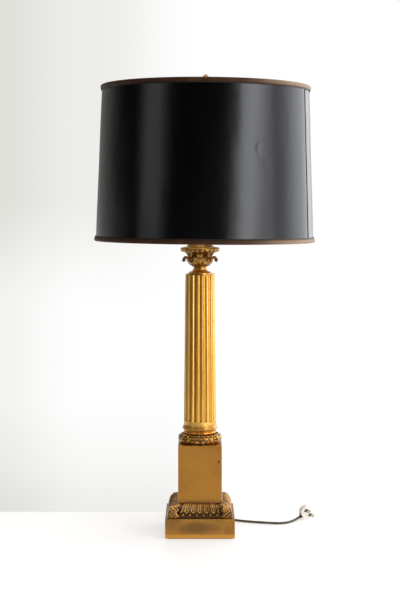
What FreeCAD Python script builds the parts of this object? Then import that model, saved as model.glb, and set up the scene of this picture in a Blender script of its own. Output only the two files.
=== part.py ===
# Column table lamp: gilt-brass column on a square plinth, drum shade on a harp, two-blade lead.
#
# Frame: millimetres, +Z up, origin at the middle of the felt under the plinth, front towards -Y.
# The driving sizes stand in the sheet "Sizes"; every level is worked out from them, from the felt
# upwards. The harp leans a little to the right and carries the shade off the column's axis.

import FreeCAD, Part
import Sketcher
import math
import os

Vector = FreeCAD.Vector
Rotation = FreeCAD.Rotation
Placement = FreeCAD.Placement
UP = Vector(0, 0, 1)

doc = FreeCAD.newDocument("ColumnTableLamp")
sheet = doc.addObject("Spreadsheet::Sheet", "Sizes")
pieces = {}


class Length:
    """A number and the sheet formula that gives it, so that one expression serves both."""

    def __init__(self, number, formula):
        self.number = float(number)
        self.formula = formula

    def __float__(self):
        return self.number

    def __add__(self, other):
        other = as_length(other)
        return Length(self.number + other.number, f"({self.formula} + {other.formula})")

    def __sub__(self, other):
        other = as_length(other)
        return Length(self.number - other.number, f"({self.formula} - {other.formula})")

    def __mul__(self, other):
        other = as_length(other)
        return Length(self.number * other.number, f"({self.formula} * {other.formula})")

    def __truediv__(self, other):
        other = as_length(other)
        return Length(self.number / other.number, f"({self.formula} / {other.formula})")

    def __radd__(self, other):
        return as_length(other) + self

    def __rsub__(self, other):
        return as_length(other) - self

    def __rmul__(self, other):
        return as_length(other) * self

    def __neg__(self):
        return self * -1


def as_length(value):
    if isinstance(value, Length):
        return value
    return Length(value, f"({float(value)!r})")


def root(value):
    return Length(math.sqrt(value.number), f"sqrt({value.formula})")


def size(alias, number):
    """Writes one driving size to the next row of the sheet and returns it."""
    row = len(size.aliases) + 1
    size.aliases.append(alias)
    sheet.set(f"A{row}", alias)
    sheet.set(f"B{row}", str(number))
    sheet.setAlias(f"B{row}", alias)
    return Length(number, f"Sizes.{alias}")


size.aliases = []

# ---------------------------------------------------------------- driving sizes, in millimetres
running_gap = size("running_gap", 0.3)          # between pieces that move past each other
rod_fit = size("rod_fit", 0.25)                 # round the centre rod in each hole
screw_fit = size("screw_fit", 0.06)             # round a thread drawn plain

felt_thick = size("felt_thick", 1.5)
felt_inset = size("felt_inset", 3)

plinth_wide = size("plinth_wide", 127)
plinth_high = size("plinth_high", 35)
plinth_wall = size("plinth_wall", 3)
plinth_soft = size("plinth_soft", 1)            # rounding of the cast edges

weight_gap = size("weight_gap", 8)              # between the iron weight and the plinth's walls
weight_thick = size("weight_thick", 16)
weight_web = size("weight_web", 4)              # iron left above the nut's pocket
weight_pocket = size("weight_pocket", 17)       # radius of that pocket

rod_wide = size("rod_wide", 10)
rod_bore = size("rod_bore", 7)
rod_spare = size("rod_spare", 1)                # rod below its nut
rod_in_holder = size("rod_in_holder", 8)        # rod inside the lamp holder's cap
nut_across = size("nut_across", 17)
nut_thick = size("nut_thick", 4.5)
washer_wide = size("washer_wide", 26)
washer_thick = size("washer_thick", 1.5)

collar_high = size("collar_high", 22)           # carved quarter-round
collar_lip = size("collar_lip", 1.5)            # upright lip below it
collar_foot = size("collar_foot", 57.5)         # half-width of the quarter-round at its foot
collar_head = size("collar_head", 42.5)         # half-width at its top
collar_band = size("collar_band", 6)            # plain band between collar and pedestal
collar_band_half = size("collar_band_half", 41.6)
collar_wall = size("collar_wall", 4)
tongue_relief = size("tongue_relief", 1.8)
tongue_pitch = size("tongue_pitch", 12.8)
tongue_wide = size("tongue_wide", 9.2)
corner_relief = size("corner_relief", 2.6)
dart_wide = size("dart_wide", 1.6)

pedestal_wide = size("pedestal_wide", 80.5)
pedestal_high = size("pedestal_high", 101)
pedestal_wall = size("pedestal_wall", 3)
pedestal_soft = size("pedestal_soft", 0.8)

wreath_high = size("wreath_high", 17.5)
wreath_out = size("wreath_out", 41.4)           # radius over the leaves
wreath_seat = size("wreath_seat", 26)           # inner radius of the ring

foot_high = size("foot_high", 17)               # turned base of the column
foot_neck = size("foot_neck", 28.6)
foot_lip = size("foot_lip", 33)

shaft_high = size("shaft_high", 278)
shaft_low = size("shaft_low", 30)
shaft_top = size("shaft_top", 27.1)
shaft_wall = size("shaft_wall", 4.5)
flute_wide = size("flute_wide", 9.2)
flute_deep = size("flute_deep", 2.3)
flute_start = size("flute_start", 9)            # plain band below the flutes' round ends

cap_thick = size("cap_thick", 1.6)
cap_inset = size("cap_inset", 0.5)

waist_high = size("waist_high", 12)
waist_foot = size("waist_foot", 21.6)
waist_slim = size("waist_slim", 11.5)

bowl_high = size("bowl_high", 23.5)
bowl_wide = size("bowl_wide", 22.6)
leaf_reach = size("leaf_reach", 30.4)           # radius at the curled tips of the leaves

pan_high = size("pan_high", 15.7)
pan_wide = size("pan_wide", 36.4)
cover_high = size("cover_high", 17.3)
cover_wide = size("cover_wide", 25)
neck_high = size("neck_high", 10)
neck_wide = size("neck_wide", 9)

saddle_thick = size("saddle_thick", 1.6)
saddle_wide = size("saddle_wide", 13)
leg_apart = size("leg_apart", 50)               # between the harp's legs
tongue_high = size("tongue_high", 19.5)         # height of the saddle's tongues
tongue_flat = size("tongue_flat", 5)
harp_wire = size("harp_wire", 3.8)
harp_high = size("harp_high", 256)
harp_wide = size("harp_wide", 108)
ferrule_long = size("ferrule_long", 14)
ferrule_wide = size("ferrule_wide", 8.8)
ferrule_wall = size("ferrule_wall", 1)
ferrule_travel = size("ferrule_travel", 16)

stud_wide = size("stud_wide", 6.2)
stud_flange = size("stud_flange", 15)
stud_flange_thick = size("stud_flange_thick", 2.5)
stud_long = size("stud_long", 16)               # threaded length above the flange

shade_offset = size("shade_offset", 10.5)       # how far the harp's lean carries the shade
shade_tilt = size("shade_tilt", 0.45)           # degrees
shade_high = size("shade_high", 289)
shade_low_wide = size("shade_low_wide", 406)
shade_top_wide = size("shade_top_wide", 386.6)
shade_skin = size("shade_skin", 1)
lining_skin = size("lining_skin", 0.5)
shade_drop = size("shade_drop", 11)             # spider hub below the shade's top edge
ring_wire = size("ring_wire", 3.4)
trim_high = size("trim_high", 10)
trim_skin = size("trim_skin", 1.5)
hub_wide = size("hub_wide", 22)
hub_thick = size("hub_thick", 2.5)
arm_wire = size("arm_wire", 3)

finial_high = size("finial_high", 31.5)
finial_wide = size("finial_wide", 15)

holder_wide = size("holder_wide", 34.4)
holder_cap_high = size("holder_cap_high", 18)
holder_shell_high = size("holder_shell_high", 42)
holder_skin = size("holder_skin", 0.8)
holder_lap = size("holder_lap", 6)              # shell inside the cap
liner_skin = size("liner_skin", 0.8)
core_high = size("core_high", 15)
screw_wide = size("screw_wide", 26)             # bulb screw
screw_long = size("screw_long", 24)
screw_skin = size("screw_skin", 0.5)
knob_reach = size("knob_reach", 20)             # knob's near end beyond the holder

bulb_wide = size("bulb_wide", 60)
bulb_long = size("bulb_long", 84)               # glass above its cap
glass_skin = size("glass_skin", 0.8)

cord_wide = size("cord_wide", 4.6)
cord_exit_x = size("cord_exit_x", 15.5)
cord_exit_z = size("cord_exit_z", 7.5)
inner_bend = size("inner_bend", 15)
relief_long = size("relief_long", 22)
coil_back = size("coil_back", 39.5)             # middle of the coil behind the strain relief's tip
coil_bore = size("coil_bore", 19.8)
coil_pitch = size("coil_pitch", 5.2)
coil_rise = size("coil_rise", 5.1)
coil_lift = size("coil_lift", 1)                # room for the tie below the turns
tie_thick = size("tie_thick", 0.8)
tie_wide = size("tie_wide", 5)

plug_wide = size("plug_wide", 26.4)
plug_deep = size("plug_deep", 15)
blade_long = size("blade_long", 17)
blade_wide = size("blade_wide", 6.3)
blade_thick = size("blade_thick", 1.5)
blade_apart = size("blade_apart", 12.7)

# counts
tongues_per_side = 5
wreath_leaves = 24
flute_count = 18
bowl_leaves = 6
gadroon_count = 24
coil_layers = 4
coil_turns = 2.0625                             # turns in one layer

doc.recompute()


# ---------------------------------------------------------------- helpers
def bind(thing, **lengths):
    """Ties properties to the sheet; a double underscore stands for a dot."""
    for name, length in lengths.items():
        thing.setExpression(name.replace("__", "."), as_length(length).formula)


def put(thing, x=0, y=0, z=0, turn=None):
    """Places a thing, its position tied to the sheet."""
    thing.Placement = Placement(Vector(float(x), float(y), float(z)), turn or Rotation())
    bind(thing, Placement__Base__x=x, Placement__Base__y=y, Placement__Base__z=z)


def add(kind, title, **lengths):
    thing = doc.addObject(kind, title)
    bind(thing, **lengths)
    return thing


def keep(name, thing):
    """Gives a finished sub-part its label."""
    thing.Label = name
    pieces[name] = thing
    return thing


def new_body(name):
    return keep(name, doc.addObject("PartDesign::Body", name + "_body"))


def origin_feature(body, role):
    return [feature for feature in body.Origin.OriginFeatures if feature.Role == role][0]


def grow(body, kind, title, **lengths):
    """Adds one PartDesign primitive to a body."""
    feature = body.newObject(kind, title)
    bind(feature, **lengths)
    return feature


def pin_corner(sketch, edge, end, across, up):
    """Ties one corner of a sketch to its two distances from the sketch's origin."""
    for kind, axis, value in (("DistanceX", -2, across), ("DistanceY", -1, up)):
        if not isinstance(value, Length) and value == 0:
            sketch.addConstraint(Sketcher.Constraint("PointOnObject", edge, end, axis))
            continue
        distance = as_length(value)
        number = sketch.addConstraint(Sketcher.Constraint(kind, -1, 1, edge, end, distance.number))
        sketch.setExpression(f"Constraints[{number}]", distance.formula)


def outline(body, title, plane, corners):
    """A closed sketch. A corner is (across, up) or (across, up, bow), where bow is the rise of the
    side that starts there over half its chord, positive on the right-hand side of travel."""
    sketch = body.newObject("Sketcher::SketchObject", title)
    sketch.AttachmentSupport = [(origin_feature(body, plane), "")]
    sketch.MapMode = "FlatFace"
    ends = []
    middles = []
    for index, corner in enumerate(corners):
        following = corners[(index + 1) % len(corners)]
        start = Vector(float(corner[0]), float(corner[1]), 0)
        stop = Vector(float(following[0]), float(following[1]), 0)
        bow = corner[2] if len(corner) > 2 else 0
        if bow == 0:
            sketch.addGeometry(Part.LineSegment(start, stop), False)
            ends.append((1, 2))
            continue
        across = as_length(following[0]) - corner[0]
        up = as_length(following[1]) - corner[1]
        lean = (bow * bow - 1) / (4 * bow)
        middle = ((as_length(corner[0]) + following[0]) / 2 + up * lean,
                  (as_length(corner[1]) + following[1]) / 2 - across * lean)
        centre = Vector(float(middle[0]), float(middle[1]), 0)
        first, last = (start, stop) if bow > 0 else (stop, start)
        angles = [math.atan2(point.y - centre.y, point.x - centre.x) for point in (first, last)]
        circle = Part.Circle(centre, UP, (start - centre).Length)
        sketch.addGeometry(Part.ArcOfCircle(circle, angles[0], angles[1]), False)
        ends.append((1, 2) if bow > 0 else (2, 1))
        flat = abs(float(across)) > abs(float(up))
        axis = 1 if flat and abs(centre.y) > 1e-6 or abs(centre.x) < 1e-6 else 0
        middles.append((index, ("DistanceX", "DistanceY")[axis], middle[axis]))
    for index in range(len(corners)):
        following = (index + 1) % len(corners)
        joint = Sketcher.Constraint("Coincident", index, ends[index][1], following, ends[following][0])
        sketch.addConstraint(joint)
    for index, corner in enumerate(corners):
        pin_corner(sketch, index, ends[index][0], corner[0], corner[1])
    for index, kind, distance in middles:
        number = sketch.addConstraint(Sketcher.Constraint(kind, -1, 1, index, 3, distance.number))
        sketch.setExpression(f"Constraints[{number}]", distance.formula)
    return sketch


def turned(name, corners):
    """A piece turned about its own Z axis from an outline of (radius, height) corners."""
    body = new_body(name)
    revolution = body.newObject("PartDesign::Revolution", name + "_turning")
    sketch = outline(body, name + "_profile", "XZ_Plane", corners)
    revolution.Profile = sketch
    revolution.ReferenceAxis = (sketch, ["V_Axis"])
    revolution.Angle = 360
    body.Tip = revolution
    return body


def around(body, features, count, title):
    """Repeats features of a body about its Z axis."""
    pattern = body.newObject("PartDesign::PolarPattern", title)
    pattern.Originals = features
    pattern.Axis = (origin_feature(body, "Z_Axis"), [""])
    pattern.Angle = 360
    pattern.Occurrences = count
    body.Tip = pattern
    return pattern


def tube(name, outer, inner, tall):
    """A plain round tube or washer."""
    solid = add("Part::Cylinder", name + "_outside", Radius=outer, Height=tall)
    hole = add("Part::Cylinder", name + "_hole", Radius=inner, Height=tall)
    cut = doc.addObject("Part::Cut", name + "_cut")
    cut.Base = solid
    cut.Tool = hole
    return keep(name, cut)


def shaped(name, shape):
    """A sub-part whose shape is worked out by its own function."""
    feature = doc.addObject("Part::Feature", name + "_form")
    feature.Shape = shape
    return keep(name, feature)


def soften(body, base, radius, chosen):
    """Rounds the edges of a body's feature that a test picks."""
    doc.recompute()
    edges = [f"Edge{number + 1}" for number, edge in enumerate(base.Shape.Edges) if chosen(edge)]
    fillet = body.newObject("PartDesign::Fillet", base.Name + "_softened")
    fillet.Base = (base, edges)
    bind(fillet, Radius=radius)
    body.Tip = fillet
    return fillet


def upright(edge):
    return abs(edge.tangentAt(edge.FirstParameter).z) > 0.9


def at_height(level):
    return lambda edge: max(abs(vertex.Z - level) for vertex in edge.Vertexes) < 1e-4


def arc_from(start, heading, stop, turned_round=False):
    """The one arc that leaves start along heading and reaches stop, or a line if they agree."""
    chord = stop - start
    along = Vector(chord).normalize()
    side = heading - along * heading.dot(along)
    first, last = (stop, start) if turned_round else (start, stop)
    if side.Length < 1e-6:
        return Part.LineSegment(first, last).toShape()
    half_turn = math.acos(max(-1, min(1, heading.dot(along))))
    rise = chord.Length / 2 * math.tan(half_turn / 2)
    crown = (start + stop) * 0.5 + side.normalize() * rise
    return Part.Arc(first, crown, last).toShape()


def two_arcs(start, heading, stop, leaving):
    """Two arcs that join two points with given headings, tangent where they meet."""
    gap = stop - start
    sum_of_headings = heading + leaving
    spread = 2 * (1 - heading.dot(leaving))
    reach = gap.dot(sum_of_headings)
    if spread < 1e-9:
        arm = gap.dot(gap) / (4 * gap.dot(leaving))
    else:
        arm = (math.sqrt(reach * reach + spread * gap.dot(gap)) - reach) / spread
    middle = (start + stop + (heading - leaving) * arm) * 0.5
    return [arc_from(start, heading, middle), arc_from(stop, leaving * -1, middle, True)]


def pipe(edges, radius, heading):
    """A round rod or cord along a chain of edges that starts with the given heading."""
    spine = Part.Wire(Part.__sortEdges__(edges))
    start = edges[0].valueAt(edges[0].FirstParameter)
    ring = Part.Wire([Part.Circle(start, heading, radius).toShape()])
    return spine.makePipeShell([ring], True, False)


def rounded_route(name, points, radius):
    """A cord's tube: straight runs between chosen points, joined by the largest tangent arcs."""
    edges = []
    bends = []
    last = points[0]
    for before, corner, after in zip(points, points[1:], points[2:]):
        inward = (corner - before).normalize()
        outward = (after - corner).normalize()
        half_turn = inward.getAngle(outward) / 2
        setback = 0.45 * min((corner - before).Length, (after - corner).Length)
        bends.append(setback / math.tan(half_turn))
        enter = corner - inward * setback
        leave = corner + outward * setback
        edges.append(Part.LineSegment(last, enter).toShape())
        edges.append(arc_from(enter, inward, leave))
        last = leave
    edges.append(Part.LineSegment(last, points[-1]).toShape())
    solid = pipe(edges, radius, (points[1] - points[0]).normalize())
    length = sum(edge.Length for edge in edges)
    print(f"{name}: {length:.1f} mm long, bend radii", " ".join(f"{bend:.0f}" for bend in bends),
          f"volume over section times length {solid.Volume / (math.pi * radius ** 2 * length):.4f}")
    return solid


# ---------------------------------------------------------------- levels, from the table upwards
rod_hole = rod_wide / 2 + rod_fit
plinth_z = felt_thick
plinth_top_z = plinth_z + plinth_high
roof_z = plinth_top_z - plinth_wall             # underside of the plinth's top wall
weight_z = roof_z - weight_thick
washer_z = roof_z - weight_web - washer_thick
nut_z = washer_z - nut_thick
rod_z = nut_z - rod_spare
collar_z = plinth_top_z
pedestal_z = collar_z + collar_high + collar_band
wreath_z = pedestal_z + pedestal_high
foot_z = wreath_z + wreath_high
shaft_z = foot_z + foot_high
cap_z = shaft_z + shaft_high
waist_z = cap_z + cap_thick
bowl_z = waist_z + waist_high
pan_z = bowl_z + bowl_high
cover_z = pan_z + pan_high
neck_z = cover_z + cover_high
saddle_z = neck_z + neck_high
holder_z = saddle_z + saddle_thick

# ---------------------------------------------------------------- felt pad under the plinth
body = new_body("felt_pad")
felt_side = plinth_wide - felt_inset * 2
pad = grow(body, "PartDesign::AdditiveBox", "felt_sheet",
           Length=felt_side, Width=felt_side, Height=felt_thick)
put(pad, x=felt_side / -2, y=felt_side / -2)
soften(body, pad, plinth_soft * 2, upright)

# ---------------------------------------------------------------- plinth: a cast box, open below
body = new_body("plinth")
block = grow(body, "PartDesign::AdditiveBox", "plinth_block",
             Length=plinth_wide, Width=plinth_wide, Height=plinth_high)
put(block, x=plinth_wide / -2, y=plinth_wide / -2)
top_edge = at_height(plinth_high.number)
soften(body, block, plinth_soft, lambda edge: upright(edge) or top_edge(edge))
room_side = plinth_wide - plinth_wall * 2
room = grow(body, "PartDesign::SubtractiveBox", "plinth_room",
            Length=room_side, Width=room_side, Height=plinth_high - plinth_wall)
put(room, x=room_side / -2, y=room_side / -2)
rod_way = grow(body, "PartDesign::SubtractiveCylinder", "plinth_rod_hole",
               Radius=rod_hole, Height=plinth_wall * 3)
put(rod_way, z=plinth_high - plinth_wall * 2)
grommet_hole = cord_wide / 2 + 1.8
cord_way = grow(body, "PartDesign::SubtractiveCylinder", "plinth_cord_hole",
                Radius=grommet_hole, Height=plinth_wall * 2)
put(cord_way, x=cord_exit_x, y=plinth_wide / 2 - plinth_wall * 1.5, z=cord_exit_z - plinth_z,
    turn=Rotation(Vector(1, 0, 0), -90))
put(body, z=plinth_z)

# ---------------------------------------------------------------- iron weight inside the plinth
body = new_body("base_weight")
weight_side = room_side - weight_gap * 2
slab = grow(body, "PartDesign::AdditiveBox", "weight_slab",
            Length=weight_side, Width=weight_side, Height=weight_thick)
put(slab, x=weight_side / -2, y=weight_side / -2)
soften(body, slab, plinth_soft * 3, upright)
grow(body, "PartDesign::SubtractiveCylinder", "weight_pocket",
     Radius=weight_pocket, Height=weight_thick - weight_web)
grow(body, "PartDesign::SubtractiveCylinder", "weight_rod_hole",
     Radius=rod_hole, Height=weight_thick * 2)
put(body, z=weight_z)

# ---------------------------------------------------------------- centre rod, its washer and nut
rod = tube("threaded_tube", rod_wide / 2, rod_bore / 2, holder_z + rod_in_holder - rod_z)
put(rod, z=rod_z)
washer = tube("rod_washer", washer_wide / 2, rod_hole, washer_thick)
put(washer, z=washer_z)
hexagon = add("Part::Prism", "nut_hexagon", Circumradius=nut_across / math.sqrt(3), Height=nut_thick)
hexagon.Polygon = 6
nut_thread = add("Part::Cylinder", "nut_thread", Radius=rod_wide / 2 + screw_fit, Height=nut_thick)
nut = doc.addObject("Part::Cut", "nut_cut")
nut.Base = hexagon
nut.Tool = nut_thread
put(keep("rod_nut", nut), z=nut_z)


# ---------------------------------------------------------------- leaf collar, carved quarter-round
def quarter_round(grown):
    """Square-plan quarter-round above a narrow upright lip, its surface moved out by an amount."""
    foot = float(collar_foot) + grown
    head = float(collar_head) + grown
    top = float(collar_high) + grown * 0.3
    lip = Vector(foot, 0, float(collar_lip))
    head_end = Vector(head, 0, top)
    half = [Part.LineSegment(Vector(foot, 0, 0), lip).toShape()]
    half += two_arcs(lip, UP, head_end, Vector(-1, 0, 0))
    other = [edge.mirror(Vector(0, 0, 0), Vector(1, 0, 0)) for edge in half]
    across = Part.LineSegment(head_end, Vector(-head, 0, top)).toShape()
    floor = Part.LineSegment(Vector(-foot, 0, 0), Vector(foot, 0, 0)).toShape()
    section = Part.Face(Part.Wire(Part.__sortEdges__(half + [across, floor] + other)))
    section.translate(Vector(0, -foot * 1.2, 0))
    bar = section.extrude(Vector(0, foot * 2.4, 0))
    crossing = bar.copy()
    crossing.rotate(Vector(0, 0, 0), UP, 90)
    return bar.common(crossing)


def tongue_plate(middle, wide, tall, foot):
    """Front view of one tongue, straight above and round below."""
    half = wide / 2
    left_top = Vector(middle - half, 0, tall)
    right_top = Vector(middle + half, 0, tall)
    left = Vector(middle - half, 0, foot + half)
    right = Vector(middle + half, 0, foot + half)
    sides = [Part.LineSegment(left_top, left).toShape(),
             Part.Arc(left, Vector(middle, 0, foot), right).toShape(),
             Part.LineSegment(right, right_top).toShape(),
             Part.LineSegment(right_top, left_top).toShape()]
    return Part.Face(Part.Wire(sides))


def corner_leaf_plate(inner, outer, tall):
    """Front view of half an acanthus leaf, its lobed edge facing the middle of the side."""
    lobes = 3
    foot = 0.6
    step = (tall - foot) / lobes
    wide = outer - inner
    edges = []
    last = Vector(outer, 0, foot)
    for lobe in range(lobes):
        low = foot + step * lobe
        valley = inner + wide * (0.14 + 0.17 * lobe)
        start = Vector(valley, 0, low)
        crown = Vector(valley - wide * 0.13, 0, low + step * 0.42)
        stop = Vector(valley + wide * 0.08, 0, low + step * 0.86)
        edges.append(Part.LineSegment(last, start).toShape())
        edges.append(Part.Arc(start, crown, stop).toShape())
        last = stop
        if lobe + 1 < lobes:
            last = Vector(valley + wide * 0.3, 0, low + step * 0.9)
            edges.append(Part.LineSegment(stop, last).toShape())
    edges.append(Part.LineSegment(last, Vector(outer, 0, last.z)).toShape())
    edges.append(Part.LineSegment(Vector(outer, 0, last.z), Vector(outer, 0, foot)).toShape())
    return Part.Face(Part.Wire(edges))


def carved_collar():
    """Tongues and darts along each side, and a lobed leaf folded over each corner."""
    tall = float(collar_high)
    relief = float(tongue_relief)
    pitch = float(tongue_pitch)
    dart = float(dart_wide)
    deep = float(collar_foot) * 1.3
    core = quarter_round(0)
    raised = quarter_round(relief)
    middle = (tongues_per_side - 1) / 2
    carved = []
    for number in range(tongues_per_side):
        plate = tongue_plate((number - middle) * pitch, float(tongue_wide), tall + relief, 1.4)
        carved.append(raised.common(plate.extrude(Vector(0, -deep, 0))))
    for number in range(tongues_per_side + 1):
        place = (number - middle - 0.5) * pitch
        bar = Part.makeBox(dart, deep, tall * 0.85, Vector(place - dart / 2, -deep, 0.6))
        carved.append(raised.common(bar))
    inner = (middle + 0.5) * pitch + dart
    outer = float(collar_foot) + float(corner_relief) + 2
    leaf = corner_leaf_plate(inner, outer, tall + 2).extrude(Vector(0, -deep, 0))
    corner_leaf = quarter_round(float(corner_relief)).common(leaf)
    folded = Part.Face(Part.makePolygon([Vector(0, 0, -1), Vector(deep, -deep, -1),
                                         Vector(0, -deep, -1), Vector(0, 0, -1)]))
    corner_leaf = corner_leaf.common(folded.extrude(Vector(0, 0, tall * 2)))
    carved.append(corner_leaf)
    carved.append(corner_leaf.mirror(Vector(0, 0, 0), Vector(1, 0, 0)))
    additions = []
    for turn in (0, 90, 180, 270):
        for piece in carved:
            side = piece.copy()
            side.rotate(Vector(0, 0, 0), UP, turn)
            additions.append(side)
    band = float(collar_band_half)
    additions.append(Part.makeBox(2 * band, 2 * band, float(collar_band) + tall * 0.3,
                                  Vector(-band, -band, tall * 0.7)))
    hollow = quarter_round(-float(collar_wall))
    hollow.translate(Vector(0, 0, -0.001))
    hole = Part.makeCylinder(float(rod_hole), tall * 2)
    return core.fuse(additions).cut([hollow, hole]).removeSplitter()


put(shaped("leaf_collar", carved_collar()), z=collar_z)

# ---------------------------------------------------------------- pedestal: a square box, open below
body = new_body("pedestal")
block = grow(body, "PartDesign::AdditiveBox", "pedestal_block",
             Length=pedestal_wide, Width=pedestal_wide, Height=pedestal_high)
put(block, x=pedestal_wide / -2, y=pedestal_wide / -2)
top_edge = at_height(pedestal_high.number)
soften(body, block, pedestal_soft, lambda edge: upright(edge) or top_edge(edge))
room_side = pedestal_wide - pedestal_wall * 2
room = grow(body, "PartDesign::SubtractiveBox", "pedestal_room",
            Length=room_side, Width=room_side, Height=pedestal_high - pedestal_wall)
put(room, x=room_side / -2, y=room_side / -2)
rod_way = grow(body, "PartDesign::SubtractiveCylinder", "pedestal_rod_hole",
               Radius=rod_hole, Height=pedestal_wall * 3)
put(rod_way, z=pedestal_high - pedestal_wall * 2)
put(body, z=pedestal_z)


# ---------------------------------------------------------------- laurel wreath with crossed ribbons
def bound_wreath():
    """A ring of overlapping leaf cups, pointing both ways from each pair of crossed ribbons."""
    section = float(wreath_high) / 2
    ring_radius = float(wreath_out) - section
    shape = Part.makeTorus(ring_radius, section * 0.8)
    step = 360 / wreath_leaves
    cup_long = 2 * ring_radius * math.sin(math.radians(step / 2)) * 1.3
    for number in range(wreath_leaves):
        angle = (number + 0.5) * step
        quarter = (angle + 45) % 90
        towards = 1 if quarter < 45 else -1
        cup = Part.makeCone(section * 0.72, section, cup_long, Vector(0, 0, -cup_long / 2))
        cup.rotate(Vector(0, 0, 0), Vector(1, 0, 0), 90 * towards)
        cup.translate(Vector(ring_radius, 0, 0))
        cup.rotate(Vector(0, 0, 0), UP, angle)
        shape = shape.fuse(cup)
    for corner in (45, 135, 225, 315):
        for cross in (-32, 32):
            ribbon = Part.makeCylinder(section * 1.02, 2.2, Vector(0, 0, -1.1))
            ribbon.rotate(Vector(0, 0, 0), Vector(1, 0, 0), 90)
            ribbon.rotate(Vector(0, 0, 0), Vector(1, 0, 0), cross)
            ribbon.translate(Vector(ring_radius, 0, 0))
            ribbon.rotate(Vector(0, 0, 0), UP, corner)
            shape = shape.fuse(ribbon)
    seat = Part.makeCylinder(ring_radius, 2 * section, Vector(0, 0, -section))
    bore = Part.makeCylinder(float(wreath_seat), 3 * section, Vector(0, 0, -1.5 * section))
    shape = shape.fuse(seat).cut(bore)
    slab = Part.makeCylinder(2 * ring_radius, 2 * section, Vector(0, 0, -section))
    return shape.common(slab)


put(shaped("laurel_wreath", bound_wreath()), z=wreath_z + wreath_high / 2)

# ---------------------------------------------------------------- turned base of the column
body = turned("column_base", [
    (rod_hole, 0), (foot_neck, 0), (foot_neck + 1.4, 1.4, 0.9), (foot_neck + 0.2, 3.4),
    (foot_lip - 2.6, 7.2, 0.25), (foot_lip - 1.4, 8.4, 0.8), (foot_lip - 1.4, 11.4, 0.3),
    (shaft_low + 0.2, 14.6, -0.2), (shaft_low + 0.2, foot_high), (rod_hole, foot_high)])
put(body, z=foot_z)

# ---------------------------------------------------------------- fluted shaft
body = turned("column_shaft", [
    (shaft_low - shaft_wall - flute_deep, 0), (shaft_low, 0), (shaft_top, shaft_high),
    (shaft_top - shaft_wall - flute_deep, shaft_high)])
flute_radius = flute_wide / 2
flute_top_radius = flute_radius * (shaft_top / shaft_low)
low_x = shaft_low + flute_radius - flute_deep
top_x = shaft_top + flute_top_radius - flute_deep * (shaft_top / shaft_low)
flute_lean = math.degrees(math.atan2(float(top_x - low_x), float(shaft_high - flute_start)))
flute_long = shaft_high - flute_start + 2
flute_z = flute_start
flute = grow(body, "PartDesign::SubtractiveCone", "flute",
             Radius1=flute_radius, Radius2=flute_top_radius, Height=flute_long)
put(flute, x=low_x, z=flute_z, turn=Rotation(Vector(0, 1, 0), flute_lean))
flute_end = grow(body, "PartDesign::SubtractiveSphere", "flute_end", Radius=flute_radius)
put(flute_end, x=low_x, z=flute_z, turn=Rotation(Vector(0, 1, 0), flute_lean))
around(body, [flute, flute_end], flute_count, "flutes")
body.Placement = Placement(Vector(0, 0, float(shaft_z)), Rotation(UP, -90))
bind(body, Placement__Base__z=shaft_z)

# ---------------------------------------------------------------- disc on the shaft, waist, bowl
disc = tube("shaft_cap", shaft_top - cap_inset, rod_hole, cap_thick)
put(disc, z=cap_z)

body = turned("capital_foot", [
    (rod_hole, 0), (waist_foot, 0), (waist_foot, 1.4, 0.35), (waist_foot - 0.8, 2.8),
    (waist_foot - 3.2, 4.2, -0.35), (waist_slim + 1.4, 8.4), (waist_slim + 1.4, 9.6, 0.8),
    (waist_slim, 10.4), (waist_slim, waist_high), (rod_hole, waist_high)])
put(body, z=waist_z)


def bell_radius(height):
    """Outer radius of the plain bowl at a height above its foot."""
    rise = max(0.0, min(1.0, (height - 2.4) / (float(bowl_high) * 0.6)))
    slim = float(waist_slim) + 1.2
    return slim + (float(bowl_wide) - slim) * math.sin(rise * math.pi / 2)


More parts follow.
